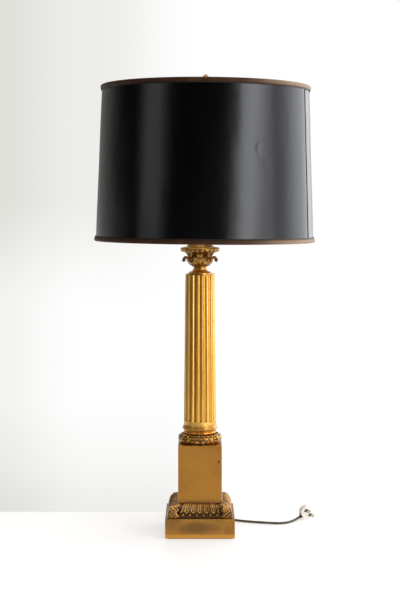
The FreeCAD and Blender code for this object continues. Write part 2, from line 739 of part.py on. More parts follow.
def leafy_bowl():
    """Bell-shaped bowl with acanthus leaves that curl outwards at their tips."""
    tall = float(bowl_high)
    slim = float(waist_slim)
    wide = float(bowl_wide)
    reach = float(leaf_reach)
    ring = Part.Arc(Vector(slim, 0, 0), Vector(slim + 1.6, 0, 1.2), Vector(slim + 1.2, 0, 2.4))
    bell = Part.Arc(Vector(slim + 1.2, 0, 2.4),
                    Vector(bell_radius(tall * 0.34), 0, tall * 0.34), Vector(wide, 0, tall * 0.7))
    profile = [Part.LineSegment(Vector(float(rod_hole), 0, 0), Vector(slim, 0, 0)).toShape(),
               ring.toShape(), bell.toShape(),
               Part.LineSegment(Vector(wide, 0, tall * 0.7), Vector(wide, 0, tall - 3)).toShape(),
               Part.LineSegment(Vector(wide, 0, tall - 3), Vector(wide + 1.6, 0, tall)).toShape(),
               Part.LineSegment(Vector(wide + 1.6, 0, tall), Vector(float(rod_hole), 0, tall)).toShape(),
               Part.LineSegment(Vector(float(rod_hole), 0, tall), Vector(float(rod_hole), 0, 0)).toShape()]
    shape = Part.Face(Part.Wire(profile)).revolve(Vector(0, 0, 0), UP, 360)
    base_z = 3.2
    root_in = Vector(slim + 0.4, 0, base_z)
    under = Vector(bell_radius(tall * 0.4) + 1.4, 0, tall * 0.36)
    throat = Vector(wide + 0.9, 0, tall * 0.64)
    tip_under = Vector(reach - 2.4, 0, tall * 0.5)
    tip = Vector(reach - 0.6, 0, tall * 0.42)
    crest = Vector(reach - 1.6, 0, tall * 0.7)
    shoulder = Vector(wide - 1.5, 0, tall * 0.8)
    inside = Vector(slim, 0, tall * 0.5)
    side = [Part.Arc(root_in, under, throat).toShape(),
            Part.Arc(throat, Vector(wide + 3, 0, tall * 0.63), tip_under).toShape(),
            Part.LineSegment(tip_under, tip).toShape(),
            Part.Arc(tip, crest, shoulder).toShape(),
            Part.LineSegment(shoulder, inside).toShape(),
            Part.LineSegment(inside, root_in).toShape()]
    blade = Part.Face(Part.Wire(side))
    half = 5.6
    blade.translate(Vector(0, -half, 0))
    blade = blade.extrude(Vector(0, 2 * half, 0))
    plan = [Part.LineSegment(Vector(slim - 1, half * 0.55, 0), Vector(slim - 1, -half * 0.55, 0)).toShape(),
            Part.LineSegment(Vector(slim - 1, -half * 0.55, 0), Vector(wide, -half, 0)).toShape(),
            Part.Arc(Vector(wide, -half, 0), Vector(reach + 0.4, 0, 0), Vector(wide, half, 0)).toShape(),
            Part.LineSegment(Vector(wide, half, 0), Vector(slim - 1, half * 0.55, 0)).toShape()]
    leaf = blade.common(Part.Face(Part.Wire(plan)).extrude(Vector(0, 0, tall)))
    for number in range(bowl_leaves):
        copy = leaf.copy()
        copy.rotate(Vector(0, 0, 0), UP, number * 360 / bowl_leaves)
        shape = shape.fuse(copy)
    bore = Part.makeCylinder(float(rod_hole), tall)
    return shape.cut(bore)


put(shaped("capital_bowl", leafy_bowl()), z=bowl_z)

# ---------------------------------------------------------------- gadrooned pan and its cover
pan_neck = bowl_wide + 1.6
body = turned("drip_pan", [
    (rod_hole, 0), (pan_neck, 0, -0.22), (pan_wide - 2.2, pan_high * 0.38, 0.3),
    (pan_wide, pan_high * 0.66, 0.5), (pan_wide - 2, pan_high * 0.86),
    (cover_wide, pan_high), (rod_hole, pan_high)])
groove = grow(body, "PartDesign::SubtractiveCone", "gadroon_groove",
              Radius1=1.6, Radius2=2.3, Height=pan_wide * 0.55)
put(groove, x=pan_neck - 0.6, z=0.1, turn=Rotation(Vector(0, 1, 0), 57))
around(body, [groove], gadroon_count, "gadroons")
put(body, z=pan_z)

body = turned("pan_cover", [
    (rod_hole, 0), (cover_wide - 0.6, 0), (cover_wide - 1.6, 1.6, 0.3),
    (cover_wide * 0.62, cover_high * 0.42, -0.25), (neck_wide + 0.6, cover_high - 2.2),
    (neck_wide + 0.6, cover_high), (rod_hole, cover_high)])
put(body, z=cover_z)

body = turned("neck", [
    (rod_hole, 0), (neck_wide, 0), (neck_wide, 1.6, -0.45), (neck_wide, neck_high - 1.6),
    (neck_wide, neck_high), (rod_hole, neck_high)])
put(body, z=neck_z)

# ---------------------------------------------------------------- lamp holder
holder_radius = holder_wide / 2
shell_out = holder_radius - holder_skin - rod_fit
body = turned("socket_cap", [
    (rod_hole, 0), (neck_wide + 1, 0, 0.12), (holder_radius, holder_cap_high * 0.6),
    (holder_radius, holder_cap_high), (holder_radius - holder_skin, holder_cap_high),
    (holder_radius - holder_skin, holder_cap_high * 0.6 + 0.4, -0.12),
    (neck_wide + 0.6, holder_skin * 1.5), (rod_hole, holder_skin * 1.5)])
put(body, z=holder_z)

shell_z = holder_z + holder_cap_high - holder_lap
body = turned("socket_shell", [
    (shell_out - holder_skin, 0), (shell_out, 0), (shell_out, holder_lap + 0.3),
    (shell_out + 0.9, holder_lap + 1.8, 0.6), (shell_out, holder_lap + 3.3),
    (shell_out, holder_shell_high - 1.6, 0.4), (shell_out - 0.2, holder_shell_high),
    (shell_out - holder_skin, holder_shell_high)])
spindle_z = holder_z + holder_cap_high + 5.5
spindle_radius = 1.6
knob_slot = grow(body, "PartDesign::SubtractiveCylinder", "knob_hole",
                 Radius=spindle_radius + running_gap, Height=holder_radius)
put(knob_slot, z=spindle_z - shell_z, turn=Rotation(Vector(1, 0, 0), 90))
put(body, z=shell_z)

liner_out = shell_out - holder_skin
liner = tube("liner_tube", liner_out, liner_out - liner_skin, holder_shell_high - 2)
del pieces["liner_tube"]
liner_hole = add("Part::Cylinder", "liner_knob_hole",
                 Radius=spindle_radius + running_gap, Height=holder_radius)
put(liner_hole, z=spindle_z - shell_z, turn=Rotation(Vector(1, 0, 0), 90))
liner_cut = doc.addObject("Part::Cut", "liner_cut")
liner_cut.Base = liner
liner_cut.Tool = liner_hole
put(keep("socket_liner", liner_cut), z=shell_z)

core_out = liner_out - liner_skin
core_z = shell_z + 1
body = new_body("socket_core")
grow(body, "PartDesign::AdditiveCylinder", "core_block", Radius=core_out, Height=core_high)
core_way = grow(body, "PartDesign::SubtractiveCylinder", "core_spindle_hole",
                Radius=spindle_radius + running_gap, Height=holder_radius)
put(core_way, y=-3, z=spindle_z - core_z, turn=Rotation(Vector(1, 0, 0), 90))
put(body, z=core_z)

contact_z = core_z + core_high
contact = turned("centre_contact", [(0, 0), (4, 0), (4, 0.6), (2.4, 1.4), (0, 1.4)])
put(contact, z=contact_z)
screw_in = screw_wide / 2 + running_gap
screw_shell = tube("screw_shell", screw_in + screw_skin, screw_in, screw_long)
put(screw_shell, z=contact_z)

# ---------------------------------------------------------------- switch knob
spindle_in = 3 + 0.4
spindle_long = holder_radius + knob_reach - spindle_in
spindle = add("Part::Cylinder", "spindle_rod", Radius=spindle_radius, Height=spindle_long)
put(keep("switch_spindle", spindle), y=-spindle_in, z=spindle_z, turn=Rotation(Vector(1, 0, 0), 90))
body = new_body("switch_knob")
grow(body, "PartDesign::AdditiveCylinder", "knob_collar", Radius=3.6, Height=4)
paddle = grow(body, "PartDesign::AdditiveBox", "knob_paddle", Length=13, Width=3.6, Height=11)
put(paddle, x=-6.5, y=-1.8, z=3)
soften(body, paddle, 1.2, lambda edge: abs(edge.tangentAt(edge.FirstParameter).y) > 0.9)
put(body, y=-(spindle_in + spindle_long), z=spindle_z, turn=Rotation(Vector(1, 0, 0), 90))

# ---------------------------------------------------------------- bulb
bulb_z = contact_z + 1.4 + running_gap
cap_radius = screw_wide / 2
body = turned("bulb_cap", [
    (0, 0), (4, 0), (5, 1.2), (9, 3.4), (cap_radius, 5), (cap_radius, screw_long),
    (cap_radius - 0.8, screw_long + 1), (0, screw_long + 1)])
put(body, z=bulb_z)
glass_z = bulb_z + screw_long + 1
bulb_radius = bulb_wide / 2
bulb_belly = bulb_long - bulb_radius
dome_bow = math.tan(math.pi / 8)                # a quarter circle
body = turned("bulb_glass", [
    (cap_radius - 2.2, 0), (cap_radius - 0.8, 0), (cap_radius - 0.4, 6, -0.08),
    (bulb_radius, bulb_belly, dome_bow), (0, bulb_long), (0, bulb_long - glass_skin, -dome_bow),
    (bulb_radius - glass_skin, bulb_belly, 0.08), (cap_radius - 1.4, 6)])
put(body, z=glass_z)

# ---------------------------------------------------------------- harp, its saddle and its stud
leg_x = leg_apart / 2
harp_lean = math.degrees(math.asin(float(shade_offset) / float(harp_high)))
harp_frame = Placement(Vector(0, 0, float(holder_z)), Rotation(Vector(0, 1, 0), harp_lean))
harp_zero = Placement(Vector(0, 0, 0), Rotation(Vector(0, 1, 0), harp_lean))
flat_half = float(saddle_thick) / 2


def strip(points, wide):
    """Bent strip of the saddle's thickness through points of its middle line."""
    shape = None
    for start, stop in zip(points, points[1:]):
        run = stop - start
        bar = Part.makeBox(run.Length, wide, 2 * flat_half, Vector(0, -wide / 2, -flat_half))
        slope = math.degrees(math.atan2(-run.z, run.x))
        bar.rotate(Vector(0, 0, 0), Vector(0, 1, 0), slope)
        bar.translate(start)
        knee = Part.makeCylinder(flat_half, wide, stop - Vector(0, wide / 2, 0), Vector(0, 1, 0))
        bar = bar.fuse(knee)
        shape = bar if shape is None else shape.fuse(bar)
    return shape


def saddle():
    """Flat plate under the holder whose ends turn up into the tongues of the harp."""
    wide = float(saddle_wide)
    tongue_x = float(leg_x) - 0.1 - flat_half
    plate_end = float(holder_radius) + 0.5
    shape = Part.makeBox(2 * plate_end, wide, 2 * flat_half, Vector(-plate_end, -wide / 2, -2 * flat_half))
    for side in (-1, 1):
        knee = harp_zero.multVec(Vector(side * tongue_x, 0, 4))
        head = harp_zero.multVec(Vector(side * tongue_x, 0, float(tongue_high) - flat_half))
        shape = shape.fuse(strip([Vector(side * plate_end, 0, -flat_half), knee], wide * 0.7))
        shape = shape.fuse(strip([knee, head], float(tongue_flat)))
    hole = Part.makeCylinder(float(rod_hole), 10, Vector(0, 0, -5))
    return shape.cut(hole)


def harp_path():
    """Middle line of the harp's wire, in its own plane, up one leg and down the other."""
    start = Vector(float(leg_x), 0, float(tongue_high) + 0.5)
    shoulder = Vector(float(leg_x), 0, 44)
    belly = Vector(float(harp_wide) / 2, 0, 118)
    top_z = float(harp_high) - float(harp_wire) / 2
    crown = Vector(9, 0, top_z)
    leg = [Part.LineSegment(start, shoulder).toShape()]
    leg += two_arcs(shoulder, UP, belly, UP)
    leg += two_arcs(belly, UP, crown, Vector(-1, 0, 0))
    flat = Part.LineSegment(crown, Vector(-crown.x, 0, top_z)).toShape()
    other = [edge.mirror(Vector(0, 0, 0), Vector(1, 0, 0)) for edge in leg]
    return leg + [flat] + other


def bow():
    wire_radius = float(harp_wire) / 2
    shape = pipe(harp_path(), wire_radius, UP)
    tang_low = 5.2
    tang_high = float(tongue_high) + 3 - tang_low
    flat = float(tongue_flat)
    for side in (-1, 1):
        near = float(leg_x) + 0.1 if side > 0 else -float(leg_x) - 0.1 - 2 * flat_half
        tang = Part.makeBox(2 * flat_half, flat, tang_high, Vector(near, -flat / 2, tang_low))
        shape = shape.fuse(tang)
    return shape


shaped("harp_saddle", saddle()).Placement = Placement(harp_frame.Base, Rotation())
shaped("harp_bow", bow()).Placement = harp_frame
ferrule_low = 5.6
for name, side in (("ferrule_left", -1), ("ferrule_right", 1)):
    sleeve = tube(name, ferrule_wide / 2, ferrule_wide / 2 - ferrule_wall, ferrule_long)
    place = harp_frame.multVec(Vector(side * float(leg_x), 0, ferrule_low))
    sleeve.Placement = Placement(place, harp_frame.Rotation)

shade_turn = Rotation(Vector(0, 1, 0), float(shade_tilt))
shade_up = shade_turn.multVec(UP)
harp_top = harp_frame.multVec(Vector(0, 0, float(harp_high) - 0.3))
stud_radius = stud_wide / 2
flange_top = stud_flange_thick
stud = turned("harp_stud", [
    (0, 0), (stud_flange / 2, 0), (stud_flange / 2, stud_flange_thick), (stud_radius, stud_flange_thick),
    (stud_radius, stud_flange_thick + stud_long - 0.6), (stud_radius - 0.6, stud_flange_thick + stud_long),
    (0, stud_flange_thick + stud_long)])
stud.Placement = Placement(harp_top, shade_turn)

# ---------------------------------------------------------------- shade on its spider
hub_point = harp_top + shade_up * float(stud_flange_thick + running_gap)
shade_frame = Placement(hub_point, shade_turn)
shade_top_z = shade_drop
shade_low_z = shade_drop - shade_high
taper = (shade_low_wide - shade_top_wide) / (shade_high * 2)


def skin_at(height_up):
    """Outer radius of the shade's skin at a height above the shade's bottom edge."""
    return shade_low_wide / 2 - taper * height_up


edge_room = ring_wire + 0.4                     # the skins end just short of the wire rings
skin_low = edge_room
skin_top = shade_high - edge_room


def shade_skin_piece(name, outer_inset, thick):
    low_out = skin_at(skin_low) - outer_inset
    top_out = skin_at(skin_top) - outer_inset
    piece = turned(name, [
        (low_out - thick, shade_low_z + skin_low), (low_out, shade_low_z + skin_low),
        (top_out, shade_low_z + skin_top), (top_out - thick, shade_low_z + skin_top)])
    piece.Placement = shade_frame
    return piece


shade_skin_piece("shade_shell", 0, shade_skin)
shade_skin_piece("shade_lining", shade_skin, lining_skin)

both_skins = shade_skin + lining_skin
ring_lift = ring_wire / 2 + 0.5                 # wire's middle inside the shade's edge
wire_radius = ring_wire / 2


def wire_ring(name, height_up):
    """Round wire that the skins' edge is stitched to."""
    ring = add("Part::Torus", name + "_wire", Radius1=skin_at(height_up) - both_skins / 2,
               Radius2=wire_radius - 0.1)
    keep(name, ring).Placement = Placement(
        shade_frame.multVec(Vector(0, 0, float(shade_low_z + height_up))), shade_turn)
    return ring


wire_ring("bottom_ring", ring_lift)
top_ring = wire_ring("top_ring", shade_high - ring_lift)


def edge_trim(name, edge_up, inward):
    """Folded tape over the wire ring and both faces of the shade's edge."""
    def corner(sideways, away, bow=0):
        """A corner by its distances from the skins' middle line and from the shade's edge."""
        height_up = edge_up + inward * away
        radius = skin_at(height_up) - both_skins / 2 + sideways
        return (radius, shade_low_z + height_up, bow * inward)

    half = both_skins / 2
    rim = wire_radius + trim_skin
    opening = ring_lift + root(wire_radius * wire_radius - half * half)
    pocket = (float(wire_radius) + math.sqrt(float(wire_radius) ** 2 - float(half) ** 2)) / float(half)
    shift = (opening - ring_lift) * taper * inward      # the skins lean, the pocket is round the wire
    trim = turned(name, [
        corner(half, trim_high), corner(half, opening), corner(half + shift, opening, -pocket),
        corner(shift - half, opening), corner(-half, opening),
        corner(-half, trim_high - 1.5), corner(-half - trim_skin * 0.45, trim_high - 1.5, 0.06),
        corner(-rim + 0.2, ring_lift + 0.4, 0.6), corner(0, 0, 0.5),
        corner(rim - 0.1, ring_lift + 0.4, 0.06), corner(half + trim_skin * 0.45, trim_high)])
    trim.Placement = shade_frame
    return trim


edge_trim("bottom_trim", as_length(0), 1)
top_tape = edge_trim("top_trim", shade_high, -1)
top_tape.Label = "top_tape"

hub = tube("spider_hub", hub_wide / 2, stud_radius + running_gap, hub_thick)
hub.Placement = shade_frame
ring_height = shade_high - ring_lift
arm_start = Vector(float(hub_wide) / 2 - 1.5, 0, float(hub_thick) / 2)
arm_stop = Vector(float(skin_at(ring_height) - both_skins / 2 - wire_radius) + 1.2, 0,
                  float(shade_low_z + ring_height))
arm_run = arm_stop - arm_start
arm_slope = math.degrees(math.atan2(arm_run.x, arm_run.z))
arm_rods = []
for name, bearing in (("spider_arm_left", -136), ("spider_arm_right", -16), ("spider_arm_back", 104)):
    rod = add("Part::Cylinder", name + "_rod", Radius=arm_wire / 2)
    rod.Height = arm_run.Length
    aim = Rotation(UP, bearing).multiply(Rotation(Vector(0, 1, 0), arm_slope))
    start = Rotation(UP, bearing).multVec(arm_start)
    rod.Placement = shade_frame.multiply(Placement(start, aim))
    arm_rods.append(rod)
    arm = rod
    for end, neighbour in (("hub", hub), ("ring", top_ring)):
        fitted = doc.addObject("Part::Cut", f"{name}_at_{end}")
        fitted.Base = arm
        fitted.Tool = neighbour
        arm = fitted
    keep(name, arm)

arm_notches = doc.addObject("Part::Compound", "arm_notches")
arm_notches.Links = arm_rods
top_trim = doc.addObject("Part::Cut", "top_trim_notched")
top_trim.Base = top_tape
top_trim.Tool = arm_notches
keep("top_trim", top_trim)

# ---------------------------------------------------------------- finial
finial_radius = finial_wide / 2
finial_seat = hub_thick + running_gap
bore = stud_radius + screw_fit
bore_deep = stud_long - hub_thick - running_gap * 2 + 1
finial = turned("finial", [
    (bore, 0), (finial_radius * 0.86, 0), (finial_radius * 0.86, 2, -0.3),
    (stud_radius + 1.6, 6), (stud_radius + 1.6, 8, 0.5), (finial_radius * 0.72, 12.5, 0.3),
    (finial_radius * 0.9, finial_high - 9), (finial_radius * 0.9, finial_high - 6, 0.12),
    (1.2, finial_high - 0.5), (0, finial_high), (0, bore_deep), (bore, bore_deep)])
finial.Placement = Placement(shade_frame.multVec(Vector(0, 0, float(finial_seat))), shade_turn)

# ---------------------------------------------------------------- lead inside the lamp, strain relief
cord_radius = float(cord_wide) / 2
relief_tip_y = float(plinth_wide / 2 + relief_long)


def inner_lead():
    """Lead from the strain relief to the rod's foot and up the rod."""
    bend = float(inner_bend)
    level = float(cord_exit_z)
    side = float(cord_exit_x)
    turn_in = Vector(side, relief_tip_y, level)
    wall_in = Vector(side, float(plinth_wide) / 2 - 12, level)
    foot = Vector(0, 0, level)
    flat = Vector(-side, -wall_in.y, 0).normalize()
    before = foot - flat * bend
    edges = [Part.LineSegment(turn_in, wall_in).toShape()]
    edges += two_arcs(wall_in, Vector(0, -1, 0), before, flat)
    edges.append(arc_from(before, flat, Vector(0, 0, level + bend)))
    top = float(holder_z + rod_in_holder) + 2
    edges.append(Part.LineSegment(Vector(0, 0, level + bend), Vector(0, 0, top)).toShape())
    return pipe(edges, cord_radius, Vector(0, -1, 0))


shaped("inner_lead", inner_lead())
grommet_body = grommet_hole - 0.1
grommet = turned("cord_grommet", [
    (cord_wide / 2, -(plinth_wall + 2)), (grommet_body + 1, -(plinth_wall + 2)),
    (grommet_body + 1, -(plinth_wall + 0.1)), (grommet_body, -(plinth_wall + 0.1)), (grommet_body, 0.1),
    (grommet_body + 1.6, 0.1), (grommet_body + 1.6, 1.6), (grommet_body + 0.2, 2.4),
    (cord_wide / 2 + 0.8, relief_long), (cord_wide / 2, relief_long)])
put(grommet, x=cord_exit_x, y=plinth_wide / 2, z=cord_exit_z, turn=Rotation(Vector(1, 0, 0), -90))

# ---------------------------------------------------------------- coil of the put-away lead
coil_out = float(coil_bore) + coil_turns * float(coil_pitch)
coil_middle = Vector(float(cord_exit_x) - coil_out, relief_tip_y + float(coil_back), 0)
coil_low_z = float(coil_lift) + cord_radius
reversals = coil_layers - 1
turns_in_all = coil_layers * coil_turns + reversals * 0.5


def coil_point(turns):
    """Middle line of the coil after so many turns: spirals in and out, climbing at each reversal."""
    pitch = float(coil_pitch)
    block = coil_turns + 0.5
    layer = min(int(turns / block), reversals)
    done = turns - layer * block
    inwards = layer % 2 == 0
    travel = min(done, coil_turns) * pitch
    height = coil_low_z + layer * float(coil_rise)
    if done > coil_turns:
        climb = done - coil_turns
        travel += min(climb, 0.5 - climb) * pitch
        height += float(coil_rise) * climb / 0.5
    radius = coil_out - travel if inwards else float(coil_bore) + travel
    angle = 2 * math.pi * turns
    return coil_middle + Vector(radius * math.cos(angle), radius * math.sin(angle), height)


def coil_heading(turns):
    step = 1e-4
    before = coil_point(max(0.0, turns - step))
    return (coil_point(min(turns_in_all, turns + step)) - before).normalize()


def wound_coil():
    """One unbroken tube through every turn, a pair of tangent arcs for each quarter turn."""
    stations = int(round(turns_in_all * 4))
    places = [turns_in_all * number / stations for number in range(stations + 1)]
    points = [coil_point(place) for place in places]
    headings = [coil_heading(place) for place in places]
    headings[0] = Vector(0, 1, 0)
    headings[-1] = Vector(1, 0, 0)
    straight = 2 * cord_radius
    edges = [Part.LineSegment(points[0] - headings[0] * straight, points[0]).toShape()]
    for number in range(stations):
        edges += two_arcs(points[number], headings[number], points[number + 1], headings[number + 1])
    edges.append(Part.LineSegment(points[-1], points[-1] + headings[-1] * straight).toShape())
    length = sum(edge.Length for edge in edges)
    samples = []
    travelled = 0.0
    for edge in edges:
        count = max(2, int(edge.Length / 2.5))
        for number in range(count):
            part = edge.FirstParameter + (edge.LastParameter - edge.FirstParameter) * number / count
            samples.append((travelled + edge.Length * number / count, edge.valueAt(part)))
        travelled += edge.Length
    nearest = min((first[1] - second[1]).Length for place, first in enumerate(samples)
                  for second in samples[place + 1:] if second[0] - first[0] > 8 * cord_radius)
    print(f"coil: {length:.1f} mm long, least gap to itself {nearest - 2 * cord_radius:.2f} mm")
    return pipe(edges, cord_radius, headings[0]), points[0] - headings[0] * straight, \
        points[-1] + headings[-1] * straight


coil_shape, coil_start, coil_end = wound_coil()
shaped("cord_coil", coil_shape)

# ---------------------------------------------------------------- free stretches of the lead
table_z = cord_radius
lead_route = [
    Vector(float(cord_exit_x), relief_tip_y, float(cord_exit_z)),
    Vector(float(cord_exit_x), relief_tip_y + 7, float(cord_exit_z) - 0.4),
    Vector(float(cord_exit_x), relief_tip_y + 20, coil_low_z + 0.2),
    coil_start]
shaped("cord_lead", rounded_route("cord_lead", lead_route, cord_radius))
plinth_corner = Vector(float(plinth_wide) / 2, float(plinth_wide) / 2, 0)
plug_face = plinth_corner + Vector(144.5, 22, float(plug_wide) / 2 + 0.1)
plug_entry = plug_face + Vector(-14.4, 0.8, -8.4)
tail_route = [
    coil_end,
    coil_end + Vector(14, -0.4, 0),
    plinth_corner + Vector(-39.5, 29.1, 16.5),
    plinth_corner + Vector(-23.5, 24.5, 8),
    plinth_corner + Vector(-9.5, 17, table_z),
    plinth_corner + Vector(9.5, 3, table_z),
    plinth_corner + Vector(32.5, -6, table_z),
    plinth_corner + Vector(60.5, -13.5, table_z),
    plinth_corner + Vector(86.5, -19, table_z),
    plinth_corner + Vector(103.5, -12.5, table_z),
    plinth_corner + Vector(114.5, 0.5, table_z),
    plinth_corner + Vector(122.9, 13.9, 2.9),
    plug_entry]
shaped("cord_tail", rounded_route("cord_tail", tail_route, cord_radius))


# ---------------------------------------------------------------- tie round the coil
def coil_tie():
    """Flat band round the bundle of turns, on the side away from both ends."""
    play = 0.15
    thick = float(tie_thick)
    low = float(coil_lift) - play
    tall = float(coil_rise) * reversals + 2 * cord_radius + 2 * play
    inner = float(coil_bore) - float(coil_pitch) / 4 - cord_radius - play - 0.3
    wide = coil_out + float(coil_pitch) / 4 + cord_radius + play + 0.2 - inner
    half = float(tie_wide) / 2
    outside = Part.makeBox(wide + 2 * thick, 2 * half, tall + 2 * thick,
                           Vector(inner - thick, -half, low - thick))
    inside = Part.makeBox(wide, 2 * half, tall, Vector(inner, -half, low))
    rounded = [edge for edge in outside.Edges if abs(edge.tangentAt(edge.FirstParameter).y) > 0.9]
    outside = outside.makeFillet(1.6, rounded)
    rounded = [edge for edge in inside.Edges if abs(edge.tangentAt(edge.FirstParameter).y) > 0.9]
    band = outside.cut(inside.makeFillet(1.0, rounded))
    band.rotate(Vector(0, 0, 0), UP, 150)
    band.translate(coil_middle)
    return band


shaped("coil_tie", coil_tie())

# ---------------------------------------------------------------- plug, lying on its rim
plug_radius = float(plug_wide) / 2
plug_axis = Vector(0.44, -0.9, 0).normalize()
plug_side = Vector(-plug_axis.y, plug_axis.x, 0)
blade_line = (plug_side - UP).normalize()
plug_turn = Rotation(blade_line, plug_axis.cross(blade_line), plug_axis, "ZXY")


def plug_body():
    """Round moulded body with a lip round its face and a collar where the lead goes in."""
    deep = float(plug_deep)
    profile = [Vector(0, 0, -deep), Vector(plug_radius - 4, 0, -deep), Vector(plug_radius - 0.8, 0, -deep + 3.2),
               Vector(plug_radius - 0.8, 0, -3), Vector(plug_radius, 0, -2.4), Vector(plug_radius, 0, -0.6),
               Vector(plug_radius - 0.6, 0, 0), Vector(0, 0, 0)]
    face = Part.Face(Part.makePolygon(profile + [profile[0]]))
    shape = face.revolve(Vector(0, 0, 0), UP, 360)
    shape.Placement = Placement(plug_face, plug_turn)
    heading = (tail_route[-1] - tail_route[-2]).normalize()
    collar = Part.makeCone(cord_radius + 0.7, cord_radius + 1.6, 8, plug_entry, heading)
    return shape.fuse(collar)


shaped("plug_body", plug_body())
blades = []
for name, side in (("blade_one", -1), ("blade_two", 1)):
    blade = add("Part::Box", name, Length=blade_thick, Width=blade_wide, Height=blade_long)
    corner = Vector(side * float(blade_apart) / 2 - float(blade_thick) / 2, -float(blade_wide) / 2, 0)
    blade.Placement = Placement(plug_face, plug_turn).multiply(Placement(corner, Rotation()))
    blades.append(blade)
pair = doc.addObject("Part::Compound", "plug_blade_pair")
pair.Links = blades
keep("plug_blades", pair)

# ---------------------------------------------------------------- check and write
doc.recompute()
failed = [thing.Label for thing in doc.Objects if {"Invalid", "Error"} & set(thing.State)]
for name, piece in pieces.items():
    if piece.Shape.isNull() or not piece.Shape.isValid():
        failed.append(name)
if failed:
    raise RuntimeError("failed: " + ", ".join(sorted(set(failed))))

print("shade hinge at", hub_point, "along", shade_up)
print("ferrules along", harp_frame.Rotation.multVec(UP), "by", float(ferrule_travel), "mm")
print("switch at height", float(spindle_z), " coil middle", coil_middle, " levels of saddle and bulb",
      float(saddle_z), float(bulb_z))

os.makedirs("parts", exist_ok=True)
for name, piece in pieces.items():
    piece.Shape.exportStep(f"parts/{name}.step")
print(len(pieces), "pieces written")
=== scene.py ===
"""Looks of the column table lamp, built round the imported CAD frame. Metres, +Z up, front towards -Y."""
import math
import bpy
from mathutils import Matrix, Vector, noise


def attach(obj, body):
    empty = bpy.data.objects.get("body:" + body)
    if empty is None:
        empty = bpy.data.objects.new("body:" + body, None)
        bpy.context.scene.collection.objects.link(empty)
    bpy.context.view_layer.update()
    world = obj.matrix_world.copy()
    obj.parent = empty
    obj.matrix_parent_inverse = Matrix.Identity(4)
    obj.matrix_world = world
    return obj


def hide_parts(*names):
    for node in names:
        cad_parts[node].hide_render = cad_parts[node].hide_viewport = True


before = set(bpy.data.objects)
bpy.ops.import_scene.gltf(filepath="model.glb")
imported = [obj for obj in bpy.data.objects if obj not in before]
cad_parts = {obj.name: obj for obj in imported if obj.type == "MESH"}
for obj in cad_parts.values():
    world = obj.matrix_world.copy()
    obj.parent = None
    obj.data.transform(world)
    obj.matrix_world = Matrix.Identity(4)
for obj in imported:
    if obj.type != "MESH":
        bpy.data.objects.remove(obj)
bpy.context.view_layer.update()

# ---------------------------------------------------------------- camera
# Level camera 2.43 m in front of the column and 0.61 m above the table, as the photograph was taken.
# The picture's middle lies below the horizon, so the lens is shifted and not tilted.
eye_back = 2.428
eye_up = 0.612
camera = bpy.data.objects.new("camera", bpy.data.cameras.new("camera"))
camera.location = (0, -eye_back, eye_up)
camera.rotation_euler = (math.radians(90), 0, 0)
camera.data.sensor_width = 36
camera.data.lens = 78
camera.data.shift_y = -0.162
camera.data.clip_end = 60
bpy.context.scene.collection.objects.link(camera)
bpy.context.scene.camera = camera
bpy.context.scene.view_settings.view_transform = "Standard"

# ---------------------------------------------------------------- lead
# One round olive-brown flex, 1.8 m long: out of the plinth's back, wound into a tied coil that the base
# hides, over its own start and along the table to the plug. The points of its route are in millimetres.
MM = 0.001
cord_radius = 2.3
exit_x = 15.5
coil_bore = 19.8                # radius of the innermost turn
coil_pitch = 5.2                # from a turn to the one beside it
coil_rise = 5.1                 # from a layer to the one above it
coil_layers = 4
layer_turns = 2.0625
climb_turns = 0.5               # here the spiral reverses and climbs to the next layer
points_per_turn = 14

layer_width = layer_turns * coil_pitch
coil_middle = Vector((exit_x - coil_bore - layer_width, 125, 3.3))
coil_turns = coil_layers * layer_turns + (coil_layers - 1) * climb_turns
coil_steps = int(coil_turns * points_per_turn)
route = [(exit_x, 85.5, 7.5), (exit_x, 92.5, 7.1), (exit_x, 105.5, 3.5), (exit_x, 120.4, 3.3)]
for step in range(coil_steps + 1):
    turned = coil_turns * step / coil_steps
    layer = min(int(turned / (layer_turns + climb_turns)), coil_layers - 1)
    done = turned - layer * (layer_turns + climb_turns)
    climb = max(0.0, done - layer_turns)
    travel = (min(done, layer_turns) + min(climb, climb_turns - climb)) * coil_pitch
    radius = coil_bore + (layer_width - travel if layer % 2 == 0 else travel)
    radius /= math.cos(math.pi / points_per_turn)       # the curve runs inside its control points
    angle = 2 * math.pi * turned
    level = coil_rise * (layer + climb / climb_turns)
    on_turn = Vector((radius * math.cos(angle), radius * math.sin(angle), level))
    route.append(tuple(coil_middle + on_turn))
route += [(-10.6, 94.5, 18.6), (3.6, 94.1, 18.6), (24, 92.6, 16.5), (40, 88, 8), (54, 80.5, 2.3),
          (73, 66.5, 2.3), (96, 57.5, 2.3), (124, 50, 2.3), (150, 44.5, 2.3), (167, 51, 2.3),
          (178, 64, 2.3), (186.4, 77.4, 2.9), (193.6, 86.3, 4.9)]
curve = bpy.data.curves.new("lead", "CURVE")
curve.dimensions = "3D"
line = curve.splines.new("NURBS")
line.points.add(len(route) - 1)
for point, place in zip(line.points, route):
    point.co = (*(c * MM for c in place), 1)
    point.radius = cord_radius * MM
line.order_u = 3
line.use_endpoint_u = True
line.resolution_u = 6
curve.bevel_depth = 1.0         # times each point's radius
curve.bevel_resolution = 5
curve.use_fill_caps = True
lead = bpy.data.objects.new("lead", curve)
bpy.context.scene.collection.objects.link(lead)
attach(lead, "stand")
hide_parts("cord_lead", "cord_coil", "cord_tail")


